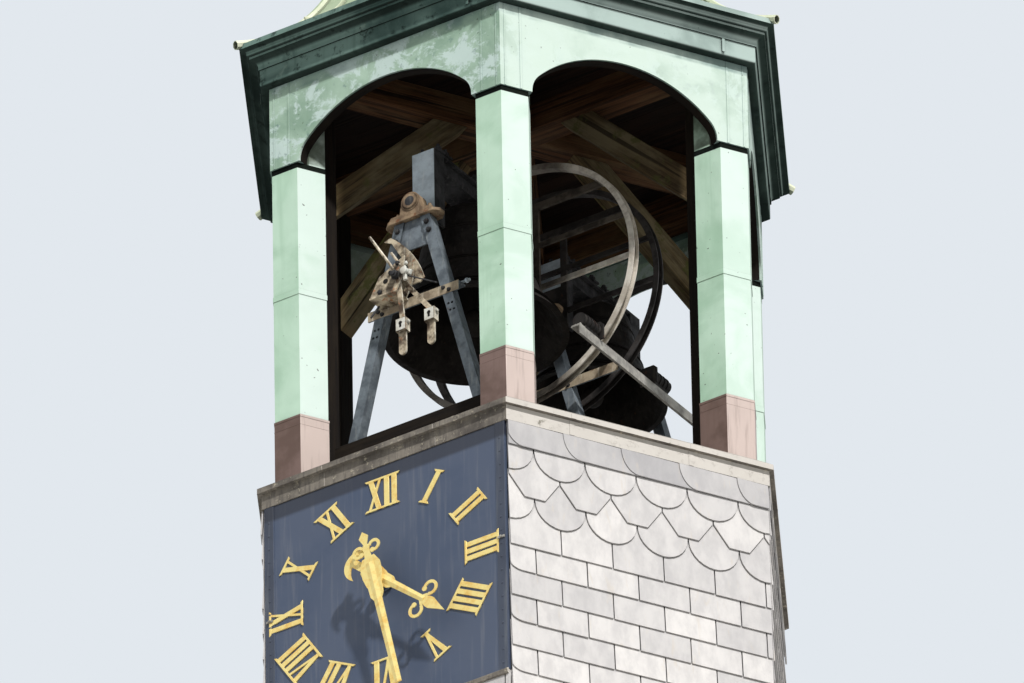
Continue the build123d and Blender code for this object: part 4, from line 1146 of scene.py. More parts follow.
def clip_below(points: list[Pair], limit: float, sign: float) -> list[Pair]:
    """Cuts an outline at a line across its first coordinate.

    Args:
        points: The outline.
        limit: Where the cut is.
        sign: 1 to keep what is below the limit, -1 to keep what is above its negative.

    Returns:
        The outline that is left.
    """
    kept = []
    for number, (x, y) in enumerate(points):
        x0, y0 = points[number - 1]
        inside, before = x * sign <= limit, x0 * sign <= limit
        if inside != before:
            share = (limit * sign - x0) / (x - x0)
            kept.append((limit * sign, y0 + (y - y0) * share))
        if inside:
            kept.append((x, y))
    return kept


class Cut(Enum):
    """How the foot of a slate is cut."""

    SQUARE = "square"
    ROUND = "round"
    TAPERED = "tapered"
    SWEPT = "swept"


@dataclass
class SlateHanging:
    """The slates that hang on the walls, in courses copied from one to the other wall."""

    pitch: float = 0.3125
    thickness: float = 0.0090
    lap: float = 0.165
    gap: float = 0.0075
    swept_pitch: float = 0.355
    swept_foot: float = 1.820
    round_foot: float = 1.655
    tapered_foot: float = 1.498
    second_round_foot: float = 1.337
    square_step: float = 0.162
    start: float = -0.485
    swept_start: float = -0.460
    swept_show: float = 0.160
    sweep: float = 0.100
    swept_rise: float = 0.150
    taper_flat: float = 0.062
    taper_rise: float = 0.132
    worn_wide: float = 0.080
    worn_tall: float = 0.045
    lowest: float = 0.006
    shortest: float = 0.04
    sag: float = 0.0025
    lift: float = 0.0012
    clear: float = 0.0005
    slip: float = 0.7
    top_gap: float = 0.002
    panel_gap: float = 0.012
    corner_lap: float = 0.004
    seed: int = 7

    def courses(self) -> list[tuple[Cut, float, float, float]]:
        """Lists the courses from the top down.

        Returns:
            For each course its cut, the height of its foot, its exposure and where a slate's middle lies.
        """
        half = self.pitch / 2
        rows = [
            (Cut.SWEPT, self.swept_foot, self.swept_show, self.swept_start),
            (Cut.ROUND, self.round_foot, self.swept_foot - self.round_foot, self.start),
            (Cut.TAPERED, self.tapered_foot, self.round_foot - self.tapered_foot, self.start + half),
            (Cut.ROUND, self.second_round_foot, self.tapered_foot - self.second_round_foot, self.start),
        ]
        foot = self.second_round_foot
        shift = half
        while foot > self.lowest:
            foot = max(foot - self.square_step, self.lowest)
            rows.append((Cut.SQUARE, foot, self.square_step, self.start + shift))
            shift = half - shift
        return rows

    def outline(self, cut: Cut, middle: float, foot: float, head: float) -> list[Pair]:
        """Draws one slate.

        Args:
            cut: How its foot is cut.
            middle: Its middle along the wall.
            foot: Height of its foot.
            head: Height of its head.

        Returns:
            Its outline along and up the wall.
        """
        half = self.pitch / 2 - self.gap / 2
        if cut is Cut.ROUND:
            steps = [math.pi * number / 14 for number in range(15)]
            arc = [(middle - half * math.cos(step), foot + half - half * math.sin(step)) for step in steps]
            return [(middle - half, head), *arc, (middle + half, head)]
        if cut is Cut.TAPERED:
            left = [(-half, head), (-half, foot + self.taper_rise), (-self.taper_flat, foot)]
            return [(middle + across, up) for across, up in left + [(-x, up) for x, up in reversed(left)]]
        if cut is Cut.SWEPT:
            sweep, rise = self.sweep, self.swept_rise
            curve = quarter_curve(middle, foot, sweep, rise)
            end = middle + self.swept_pitch
            return [(middle, head), *curve, (end + sweep, foot), (end + sweep * 0.9, head)]
        return [(middle - half, head), (middle - half, foot), (middle + half, foot), (middle + half, head)]

    def hang(self, side: Side, top: float, face: float, reach: float) -> bpy.types.Object:
        """Hangs the slates on one wall.

        Args:
            side: The wall.
            top: Height that they end under.
            face: Distance of the wall's face from the axis.
            reach: Half the wall's width.

        Returns:
            The slates as one piece.
        """
        random.seed(self.seed)
        pile = Pile()
        for cut, foot, exposure, middle in self.courses():
            head = min(foot + exposure + self.lap, top)
            if foot > top - self.shortest:
                continue
            pitch = self.swept_pitch if cut is Cut.SWEPT else self.pitch
            first = middle - pitch * math.ceil((reach + middle + pitch) / pitch)
            for number in range(int(2 * reach / pitch) + 5):
                place = first + number * pitch
                sag = random.uniform(-self.sag, self.sag)
                shape = self.outline(cut, place, foot + sag, head)
                shape = clip_below(shape, reach, 1.0)
                shape = clip_below(shape, reach, -1.0) if shape else shape
                if len(shape) < 3:
                    continue
                if cut is Cut.SQUARE and min(x for x, _ in shape) <= 0.001 - reach:
                    shape = self.rounded(shape, foot + sag)
                tone = random.uniform(0.3, 0.6) if cut is Cut.SWEPT else random.uniform(0.62, 1.0)
                self.slate(pile, side, shape, face, foot, exposure, tone, cut is Cut.SWEPT, place)
        return pile.lay(f"slates_{side.name.lower()}", SLATE, bevel=0.0012)

    def rounded(self, shape: list[Pair], foot: float) -> list[Pair]:
        """Rounds the lower left corner of the slate that starts a course at the wall's corner.

        Args:
            shape: Its outline.
            foot: Height of its foot.

        Returns:
            The outline with that corner rounded.
        """
        left, right = min(x for x, _ in shape), max(x for x, _ in shape)
        head = max(up for _, up in shape)
        wide, tall = min(self.worn_wide, (right - left) * 0.8), self.worn_tall
        curve = quarter_curve(left, foot, wide, tall)
        return [(left, head), *curve, (right, foot), (right, head)]

    def slate(
        self,
        pile: Pile,
        side: Side,
        shape: list[Pair],
        face: float,
        foot: float,
        exposure: float,
        tone: float,
        sideways: bool,
        place: float,
    ) -> None:
        """Adds one slate, leaning on the course below it.

        Args:
            pile: Where it goes.
            side: The wall.
            shape: Its outline along and up the wall.
            face: Distance of the wall's face from the axis.
            foot: Height of its foot.
            exposure: Height that shows.
            tone: Its tone, 0 to 1.
            sideways: Whether it also laps its neighbour on the left.
            place: Where it starts along the wall.
        """
        length = exposure + self.lap
        lift = random.uniform(0.0, self.lift)

        def out(along: float, up: float) -> float:
            """Gives the distance of the slate's back from the axis.

            Args:
                along: Triple along the wall.
                up: Height.

            Returns:
                The distance.
            """
            lean = self.thickness * max(0.0, foot + length - up) / exposure
            slip = max(0.0, 1.0 - (along - place) / self.swept_pitch) * self.slip if sideways else 0.0
            return face + self.clear + lean + self.thickness * slip + lift

        back = [side.at(along, out(along, up), up) for along, up in shape]
        front = [side.at(along, out(along, up) + self.thickness, up) for along, up in shape]
        pile.skin([back, front], tone)

    def build(self) -> None:
        """Hangs every wall, and the front one below the clock panel."""
        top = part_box("sill_band")[0].z - self.top_gap
        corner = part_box("base_wall_front")[1].x
        face = corner * math.sqrt(3)
        for side in Side:
            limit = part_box("clock_panel")[0].z - self.panel_gap if side is Side.FRONT else top
            self.hang(side, limit, face, corner + self.corner_lap)


@dataclass
class ClockFace:
    """The raised numerals and the trim of the clock panel."""

    radius: float = 0.612
    middle_x: float = -0.012
    middle_z: float = 1.212
    wide: float = 1.05
    tall: float = 0.955
    height: float = 0.212
    stroke: float = 0.031
    thin: float = 0.015
    space: float = 0.016
    serif: float = 0.013
    overhang: float = 0.020
    serif_foot: float = 0.45
    relief: float = 0.006
    stroke_step: float = 0.0002
    rivet_pitch: float = 0.085
    rivet: Pairs = ((0.0, 0.0075), (0.003, 0.006), (0.0042, 0.002))
    rivet_edge: float = 0.031
    strap: float = 0.054
    strap_edge: float = 0.004
    strap_proud: float = 0.0012
    vee: float = 0.088
    cross: float = 0.084
    button_edge: float = 0.030
    button_half: float = 0.022
    drip_wide: float = 0.030
    drip_tall: float = 0.034

    def letters(self, numeral: str) -> list[list[Pair]]:
        """Draws one numeral upright about its own middle.

        Args:
            numeral: Its letters.

        Returns:
            The outlines of its strokes.
        """
        widths = {"I": self.stroke, "V": self.vee, "X": self.cross}
        total = sum(widths[letter] for letter in numeral) + self.space * (len(numeral) - 1)
        low, high = -self.height / 2, self.height / 2
        place = -total / 2
        strokes = []
        first_foot = last_foot = None
        for letter in numeral:
            left, right = place, place + widths[letter]
            if letter == "I":
                strokes.append([(left, low), (right, low), (right, high), (left, high)])
                feet = (left, right)
            elif letter == "V":
                foot = (left + right) / 2
                fine = self.thin / 2
                thick = left + self.stroke
                heavy = [(foot - fine, low), (foot + self.thin, low), (thick, high), (left, high)]
                light = [(foot - fine, low), (foot + fine, low), (right, high), (right - self.thin, high)]
                strokes += [heavy, light]
                feet = (foot - self.thin, foot + self.thin)
            else:
                heavy = [(right - self.stroke, low), (right, low), (left + self.stroke, high), (left, high)]
                light = [(left, low), (left + self.thin, low), (right, high), (right - self.thin, high)]
                strokes += [heavy, light]
                feet = (left, right)
            first_foot = feet[0] if first_foot is None else first_foot
            last_foot = feet[1]
            place = right + self.space
        edge, step = self.overhang, self.overhang * self.serif_foot
        for first, last, tip, root in (
            (-total / 2, total / 2, high, high - self.serif),
            (first_foot, last_foot, low, low + self.serif),
        ):
            serif = [(first - step, root), (last + step, root), (last + edge, tip), (first - edge, tip)]
            strokes.append(serif)
        return strokes

    def numerals(self) -> bpy.types.Object:
        """Sets the twelve numerals round the dial.

        Returns:
            The numerals as one piece.
        """
        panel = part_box("clock_panel")[0].y + 0.004
        pile = Pile()
        names = ("XII", "I", "II", "III", "IIII", "V", "VI", "VII", "VIII", "IX", "X", "XI")
        for hour, numeral in enumerate(names):
            turn = math.radians(30 * hour)
            for number, stroke in enumerate(self.letters(numeral)):
                outline = []
                for x, y in stroke:
                    reach = self.radius + y
                    across = (x * math.cos(turn) + reach * math.sin(turn)) * self.wide
                    up = (-x * math.sin(turn) + reach * math.cos(turn)) * self.tall
                    outline.append(Vector((self.middle_x + across, panel, self.middle_z + up)))
                pile.prism(outline, TO_FRONT * (self.relief + self.stroke_step * number))
        return pile.lay("dial_numerals", GILT, bevel=0.001)

    def trim(self) -> None:
        """Adds the rivets, the turn buttons and the lead drip under the panel."""
        low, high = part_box("clock_panel")
        rivets = Pile()
        count = int((high.z - low.z) / self.rivet_pitch)
        for side in (-1, 1):
            edge = side * (high.x - self.rivet_edge)
            for number in range(count):
                seat = Vector((edge, low.y, low.z + (number + 0.6) * self.rivet_pitch))
                rivets.turned(seat, TO_FRONT, self.rivet, 12)
        rivets.lay("panel_rivets", FOLD_PAINT)
        straps = Pile()
        for side in (-1, 1):
            end = high.x - self.strap_edge
            edges = sorted((side * (end - self.strap), side * end))
            straps.plate(*edges, low.z + 0.002, high.z - 0.002, low.y, self.strap_proud)
        straps.lay("panel_straps", FOLD_PAINT, bevel=0.0006)
        buttons = Pile()
        for side in (-1, 1):
            seat = Vector((side * (high.x - self.button_edge), low.y, self.middle_z + 0.015))
            bar = [seat + Vector((x, -0.004, 0.0)) for x in (-self.button_half, self.button_half)]
            buttons.beam(*bar, 0.014, 0.008, TO_FRONT, 0.002)
            buttons.bolt(seat + TO_FRONT * 0.008, TO_FRONT, 0.004)
        buttons.lay("panel_buttons", GALVANISED)
        drip = Pile()
        ends = [Vector((x, low.y + 0.006, low.z - 0.010)) for x in (low.x, high.x)]
        drip.beam(*ends, self.drip_tall, self.drip_wide, TO_FRONT, 0.004)
        drip.lay("panel_drip", LEAD, bevel=0.002)

    def build(self) -> None:
        """Builds the numerals and the trim."""
        self.numerals()
        self.trim()


@dataclass
class PostSheeting:
    """The newer brown sleeves, the folded seams and the timber cores of the six posts."""

    face: float = 0.168
    jamb: float = 0.172
    sleeve_top: float = 2.556
    sleeve_proud: float = 0.0035
    seam_height: float = 3.368
    seam_width: float = 0.034
    front_drop: float = 0.052
    seam_proud: float = 0.003
    core_proud: float = 0.003
    core_width: float = 0.12
    core_depth: float = 0.20
    rim: float = 0.012
    rim_over: float = 0.004
    fold: float = 0.062
    joint: float = 0.034
    shadow_band_proud: float = 0.0008

    def plan(self, proud: float) -> list[Vector]:
        """Draws the post on +X, grown by a small distance.

        Args:
            proud: How far the outline stands off the post.

        Returns:
            Its corners at height 0.
        """
        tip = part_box("post_right")[1].x
        back = tip - self.face / 2
        half = self.face * math.sqrt(3) / 2
        return [
            Vector((tip + proud * 2 / math.sqrt(3), 0.0, 0.0)),
            Vector((back + proud / 2, half + proud, 0.0)),
            Vector((back - self.jamb - proud, half + proud, 0.0)),
            Vector((back - self.jamb - proud, -half - proud, 0.0)),
            Vector((back + proud / 2, -half - proud, 0.0)),
        ]

    def wrap(self, pile: Pile, corner: Corner, low: float, high: float, proud: float) -> None:
        """Adds a sheet wrapped round one post between two heights."""
        plan = self.plan(proud)
        pile.skin([[corner.turn @ (point + UP * up) for point in plan] for up in (low, high)])

    def build(self) -> None:
        """Builds the sleeves, seams and cores."""
        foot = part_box("post_right")[0].z
        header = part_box("arch_front")[0].z
        sleeves, seams, cores, joints = Pile(), Pile(), Pile(), Pile()
        core_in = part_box("post_right")[0].x
        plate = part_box("wall_plate")[0].z
        half = self.seam_width / 2
        for corner in Corner:
            drop = self.front_drop if corner is Corner.FRONT_RIGHT else 0.0
            top, seam = self.sleeve_top - drop, self.seam_height - drop * 1.4
            self.wrap(sleeves, corner, foot + 0.001, top, self.sleeve_proud)
            self.wrap(sleeves, corner, top - self.rim, top + self.rim_over, self.sleeve_proud + 0.002)
            self.wrap(sleeves, corner, top - self.fold, top - self.fold + 0.004, self.sleeve_proud + 0.001)
            self.wrap(seams, corner, seam - half, seam + half, self.seam_proud)
            # A near-black band under each header: painted shadow of the header.
            self.wrap(joints, corner, header - self.joint, header - 0.0005, self.shadow_band_proud)
            middle = core_in + self.core_depth / 2 - self.core_proud
            start = corner.turn @ Vector((middle, 0.0, foot + 0.001))
            end = corner.turn @ Vector((middle, 0.0, plate - 0.001))
            outward = corner.turn.to_3x3() @ TO_RIGHT
            wide = self.core_width + 2 * self.core_proud
            cores.beam(start, end, wide, self.core_depth, outward, 0.005, corner.value / 360)
        sleeves.lay("post_sleeves", BROWN_COPPER, bevel=0.0015)
        seams.lay("post_seams", POST_COPPER, bevel=0.0012)
        cores.lay("post_cores", FOOT_TIMBER)
        joints.lay("header_shadow_joints", HEADER_SHADOW)


@dataclass
class FriezeSheeting:
    """Folded straps on the arched headers, the dark boards under them and joints along cornice and sill."""

    strap_inner: float = 0.635
    strap_outer: float = 0.735
    proud: float = 0.0025
    half_span: float = 0.572
    rise: float = 0.347
    crown_radius: float = 0.725
    haunch_radius: float = 0.156
    set_back: float = 0.012
    board: float = 0.004
    strap_widths: Pair = (0.012, 0.008)
    cornice_back: float = 0.101
    cornice_joint: Pair = (0.585, 0.602)
    cornice_span: Pair = (0.018, 0.104)
    sill_joints: Pairs = ((-0.42, -0.39), (0.31, 0.34))
    cap_joint: float = 0.030

    def soffit(self, inset: float) -> list[Pair]:
        """Draws an arch's soffit from left to right.

        Args:
            inset: Distance inside the soffit.

        Returns:
            Points along the wall and up from the header's foot.
        """
        middle = self.half_span - self.haunch_radius
        between = self.crown_radius - self.haunch_radius
        lean = math.asin(middle / between)
        spring = self.rise - self.crown_radius + between * math.cos(lean)
        points = []
        for number in range(9):
            angle = math.pi - (math.pi / 2 - lean) * number / 8
            reach = self.haunch_radius - inset
            points.append((-middle + reach * math.cos(angle), spring + reach * math.sin(angle)))
        for number in range(1, 24):
            angle = math.pi / 2 + lean - 2 * lean * number / 24
            reach = self.crown_radius - inset
            up = self.rise - self.crown_radius + reach * math.sin(angle)
            points.append((reach * math.cos(angle), up))
        points += [(-x, up) for x, up in reversed(points[:9])]
        ends = self.half_span - inset
        return [(-ends, 0.0), *points, (ends, 0.0)]

    def linings(self) -> None:
        """Lays dark boards under the six arches."""
        low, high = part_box("arch_front")
        front, back = -low.y - self.set_back, -high.y + 0.001
        outer, inner = self.soffit(0.0002), self.soffit(self.board)
        pile = Pile()
        for side in Side:
            rings, grain = [], []
            for number, (a, b) in enumerate(zip(outer, inner)):
                section = [(a, front), (a, back), (b, back), (b, front)]
                rings.append([side.at(x, out, low.z + up) for (x, up), out in section])
                steps = enumerate(section)
                grain.append([Vector((number * 0.05, out, 0.01 * place)) for place, (_, out) in steps])
            pile.skin(rings, side.value / 360, grain)
        pile.lay("arch_linings", LINING)

    def strips(self, pile: Pile, out: float, low: float, high: float, places: Sequence[Pair]) -> None:
        """Adds upright strips to all six sides.

        Args:
            pile: Where they go.
            out: Distance of the face from the axis.
            low: Height of their feet.
            high: Height of their heads.
            places: Start and end of each along the wall.
        """
        for side in Side:
            for a, b in places:
                outline = [side.at(x, out, z) for x, z in ((a, low), (b, low), (b, high), (a, high))]
                pile.prism(outline, side.outward * self.proud)

    def build(self) -> None:
        """Builds the straps, the boards and the joints."""
        low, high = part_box("arch_front")
        starts = (self.strap_inner, self.strap_outer)
        places = [(start, start + wide) for start, wide in zip(starts, self.strap_widths)]
        places += [(-b, -a) for a, b in places]
        straps = Pile()
        self.strips(straps, -low.y, low.z + 0.001, high.z - 0.001, places)
        straps.lay("frieze_seams", FRIEZE_COPPER, bevel=0.001)
        self.linings()
        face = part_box("cornice")[1].y - self.cornice_back
        joints = Pile()
        start, end = self.cornice_span
        self.strips(joints, face + 0.001, high.z + start, high.z + end, [self.cornice_joint])
        joints.lay("cornice_joints", CORNICE_COPPER, bevel=0.0008)
        laps = Pile()
        band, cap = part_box("sill_band"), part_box("sill_cap")
        places = self.sill_joints
        self.strips(laps, band[1].y - 0.0005, band[0].z + 0.002, band[1].z - 0.004, places)
        self.strips(laps, cap[1].y - 0.001, cap[0].z + 0.001, cap[0].z + self.cap_joint, places)
        laps.lay("sill_joints", LEAD, bevel=0.0008)


@dataclass
class RoofSheeting:
    """Standing seams up the six slopes and flat cross seams between them."""

    eave_angle: float = 22.0
    roof_angle: float = 62.0
    sweep: float = 0.890
    strip: float = 0.430
    seam_height: float = 0.026
    seam_width: float = 0.011
    lap_width: float = 0.026
    lap_height: float = 0.003
    bay: float = 0.95
    first_lap: float = 0.42
    hip_margin: float = 0.030
    seam_margin: float = 0.006
    beyond: float = 9.0

    def slope(self) -> list[Triple]:
        """Follows one slope from the eave to the finial's skirt.

        Returns:
            Distance from the axis, height and steepness in radians of each step.
        """
        low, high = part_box("roof_shell")
        start, end = math.radians(self.eave_angle), math.radians(self.roof_angle)
        steps = []
        for number in range(25):
            angle = start + (end - start) * number / 24
            out = high.y - self.sweep * (math.sin(angle) - math.sin(start))
            steps.append((out, low.z + self.sweep * (math.cos(start) - math.cos(angle)), angle))
        out, up, angle = steps[-1]
        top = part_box("finial")[0].z + 0.02
        for number in range(1, 13):
            height = up + (top - up) * number / 12
            steps.append((out - (height - up) / math.tan(angle), height, angle))
        return steps

    def section(self, side: Side, step: Triple, along: float, half: float, height: float) -> list[Vector]:
        """Gives the section of a seam at one step of the slope.

        Args:
            side: The slope.
            step: Triple on the slope.
            along: The seam's middle along the eave.
            half: Half its width.
            height: How far it stands up.

        Returns:
            The four corners.
        """
        out, up, angle = step
        corners = [(-half, -0.004), (half, -0.004), (half * 0.75, height), (-half * 0.75, height)]
        away = side.outward * math.sin(angle) + UP * math.cos(angle)
        return [side.at(along + x, out, up) + away * lift for x, lift in corners]

    def build(self) -> None:
        """Builds the seams of the six slopes."""
        steps = self.slope()
        seams, laps = Pile(), Pile()
        edges = (-self.beyond, -self.strip, 0.0, self.strip, self.beyond)
        for side in Side:
            for along in (-self.strip, 0.0, self.strip):
                near = [step for step in steps[1:] if step[0] / math.sqrt(3) > abs(along) + 0.035]
                half = self.seam_width / 2
                seams.skin([self.section(side, step, along, half, self.seam_height) for step in near])
            for strip, (left, right) in enumerate(zip(edges, edges[1:])):
                run = self.first_lap + 0.5 * self.bay * (strip % 2)
                length = 0.0
                for before, step in zip(steps, steps[1:]):
                    length += math.hypot(step[0] - before[0], step[1] - before[1])
                    edge = step[0] / math.sqrt(3) - self.hip_margin
                    a, b = max(left + self.seam_margin, -edge), min(right - self.seam_margin, edge)
                    if length >= run and b - a > self.hip_margin:
                        run += self.bay
                        self.lap(laps, side, step, a, b)
        seams.lay("roof_seams", ROOF_COPPER, bevel=0.0015)
        laps.lay("roof_laps", ROOF_COPPER, bevel=0.001)

    def lap(self, pile: Pile, side: Side, step: Triple, left: float, right: float) -> None:
        """Adds one flat cross seam.

        Args:
            pile: Where it goes.
            side: The slope.
            step: Triple on the slope.
            left: Its start along the slope.
            right: Its end.
        """
        out, up, angle = step
        outline = []
        for along, drop in ((left, 0.0), (right, 0.0), (right, self.lap_width), (left, self.lap_width)):
            outline.append(side.at(along, out + math.cos(angle) * drop, up - math.sin(angle) * drop))
        lift = side.outward * math.sin(angle) + UP * math.cos(angle)
        outline = [corner - lift * 0.002 for corner in outline]
        pile.prism(outline, lift * (self.lap_height + 0.002))


@dataclass
class BelfryTimber:
    """The timber of the belfry, beam by beam, with the grain along each one."""

    tie_width: float = 0.160
    brace_width: float = 0.110
    brace_depth: float = 0.150
    plate_width: float = 0.120
    boards: int = 20
    board_gap: float = 0.003
    chamfer: float = 0.006
    notch: float = 0.0006

    def wall_plate(self) -> None:
        """Builds the ring of six mitred beams on the headers."""
        low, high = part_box("wall_plate")
        outer = high.y
        inner = outer - self.plate_width
        pile = Pile()
        for side in Side:
            rings = []
            for sign in (-1, 1):
                section = ((outer, low.z), (inner, low.z), (inner, high.z), (outer, high.z))
                rings.append([side.at(sign * out / math.sqrt(3), out, up) for out, up in section])
            tone = (side.value % 97) / 97
            grain = [[along_grain(corner, side.along, tone) for corner in ring] for ring in rings]
            pile.skin(rings, tone, grain)
        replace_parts(pile.lay("wall_plate_beams", TIMBER), "wall_plate")

    def ties(self) -> None:
        """Builds the three beams that cross under the ceiling."""
        low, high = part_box("tie_beams")
        pile = Pile()
        middle = (low.z + high.z) / 2
        for number, turn in enumerate((0, 60, 120)):
            ray = Vector((math.cos(math.radians(turn)), math.sin(math.radians(turn)), 0.0))
            lift = UP * (middle + self.notch * number)
            depth = high.z - low.z - 2 * self.notch * number
            ends = (ray * low.x + lift, ray * high.x + lift)
            pile.beam(*ends, self.tie_width, depth, UP, self.chamfer, 0.6 + 0.2 * number)
        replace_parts(pile.lay("tie_beam_timbers", TIMBER), "tie_beams")

    def braces(self) -> None:
        """Builds the six braces from the posts' cores to the tie beams."""
        low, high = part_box("knee_braces")
        foot = self.brace_depth * math.sqrt(2)
        rise = high.z - low.z
        shape = [(0.0, 0.0), (0.0, foot), (foot - rise, rise), (-rise, rise)]
        pile = Pile()
        for corner in Corner:
            outline = [
                corner.turn @ Vector((high.x + x, -self.brace_width / 2, low.z + up)) for x, up in shape
            ]
            push = corner.turn.to_3x3() @ Vector((0.0, self.brace_width, 0.0))
            axis = (corner.turn.to_3x3() @ Vector((-1.0, 0.0, 1.0))).normalized()
            pile.prism(outline, push, (corner.value % 101) / 101, axis)
        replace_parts(pile.lay("knee_brace_timbers", BRACE_TIMBER, bevel=0.004), "knee_braces")

    def feet(self) -> None:
        """Builds the three beams that carry the bell frames."""
        low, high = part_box("frame_beams")
        pile = Pile()
        middle = (low.z + high.z) / 2
        for number, name in enumerate(("front", "middle", "rear")):
            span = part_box(f"bell_frame_{name}")
            y = (span[0].y + span[1].y) / 2
            ends = [Vector((x, y, middle)) for x in (low.x, high.x)]
            pile.beam(*ends, self.tie_width, high.z - low.z, UP, self.chamfer, 0.4 + 0.2 * number)
        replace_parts(pile.lay("frame_beam_timbers", FOOT_TIMBER), "frame_beams")

    def ceiling(self) -> None:
        """Lays the ceiling's boards."""
        low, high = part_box("belfry_ceiling")
        step = (high.y - low.y) / self.boards
        root = math.sqrt(3)
        pile = Pile()
        for number in range(self.boards):
            a = low.y + number * step + (self.board_gap / 2 if number else 0.0)
            b = low.y + (number + 1) * step - (self.board_gap / 2 if number < self.boards - 1 else 0.0)
            wide_a, wide_b = ((2 * high.y - abs(y)) / root for y in (a, b))
            corners = ((-wide_a, a), (wide_a, a), (wide_b, b), (-wide_b, b))
            outline = [Vector((x, y, low.z)) for x, y in corners]
            tone = (number * 37 % 20) / 20
            pile.prism(outline, UP * (high.z - low.z), tone, TO_RIGHT)
        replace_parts(pile.lay("ceiling_boards", BOARDS), "belfry_ceiling")

    def build(self) -> None:
        """Builds every timber."""
        self.wall_plate()
        self.ties()
        self.braces()
        self.feet()
        self.ceiling()


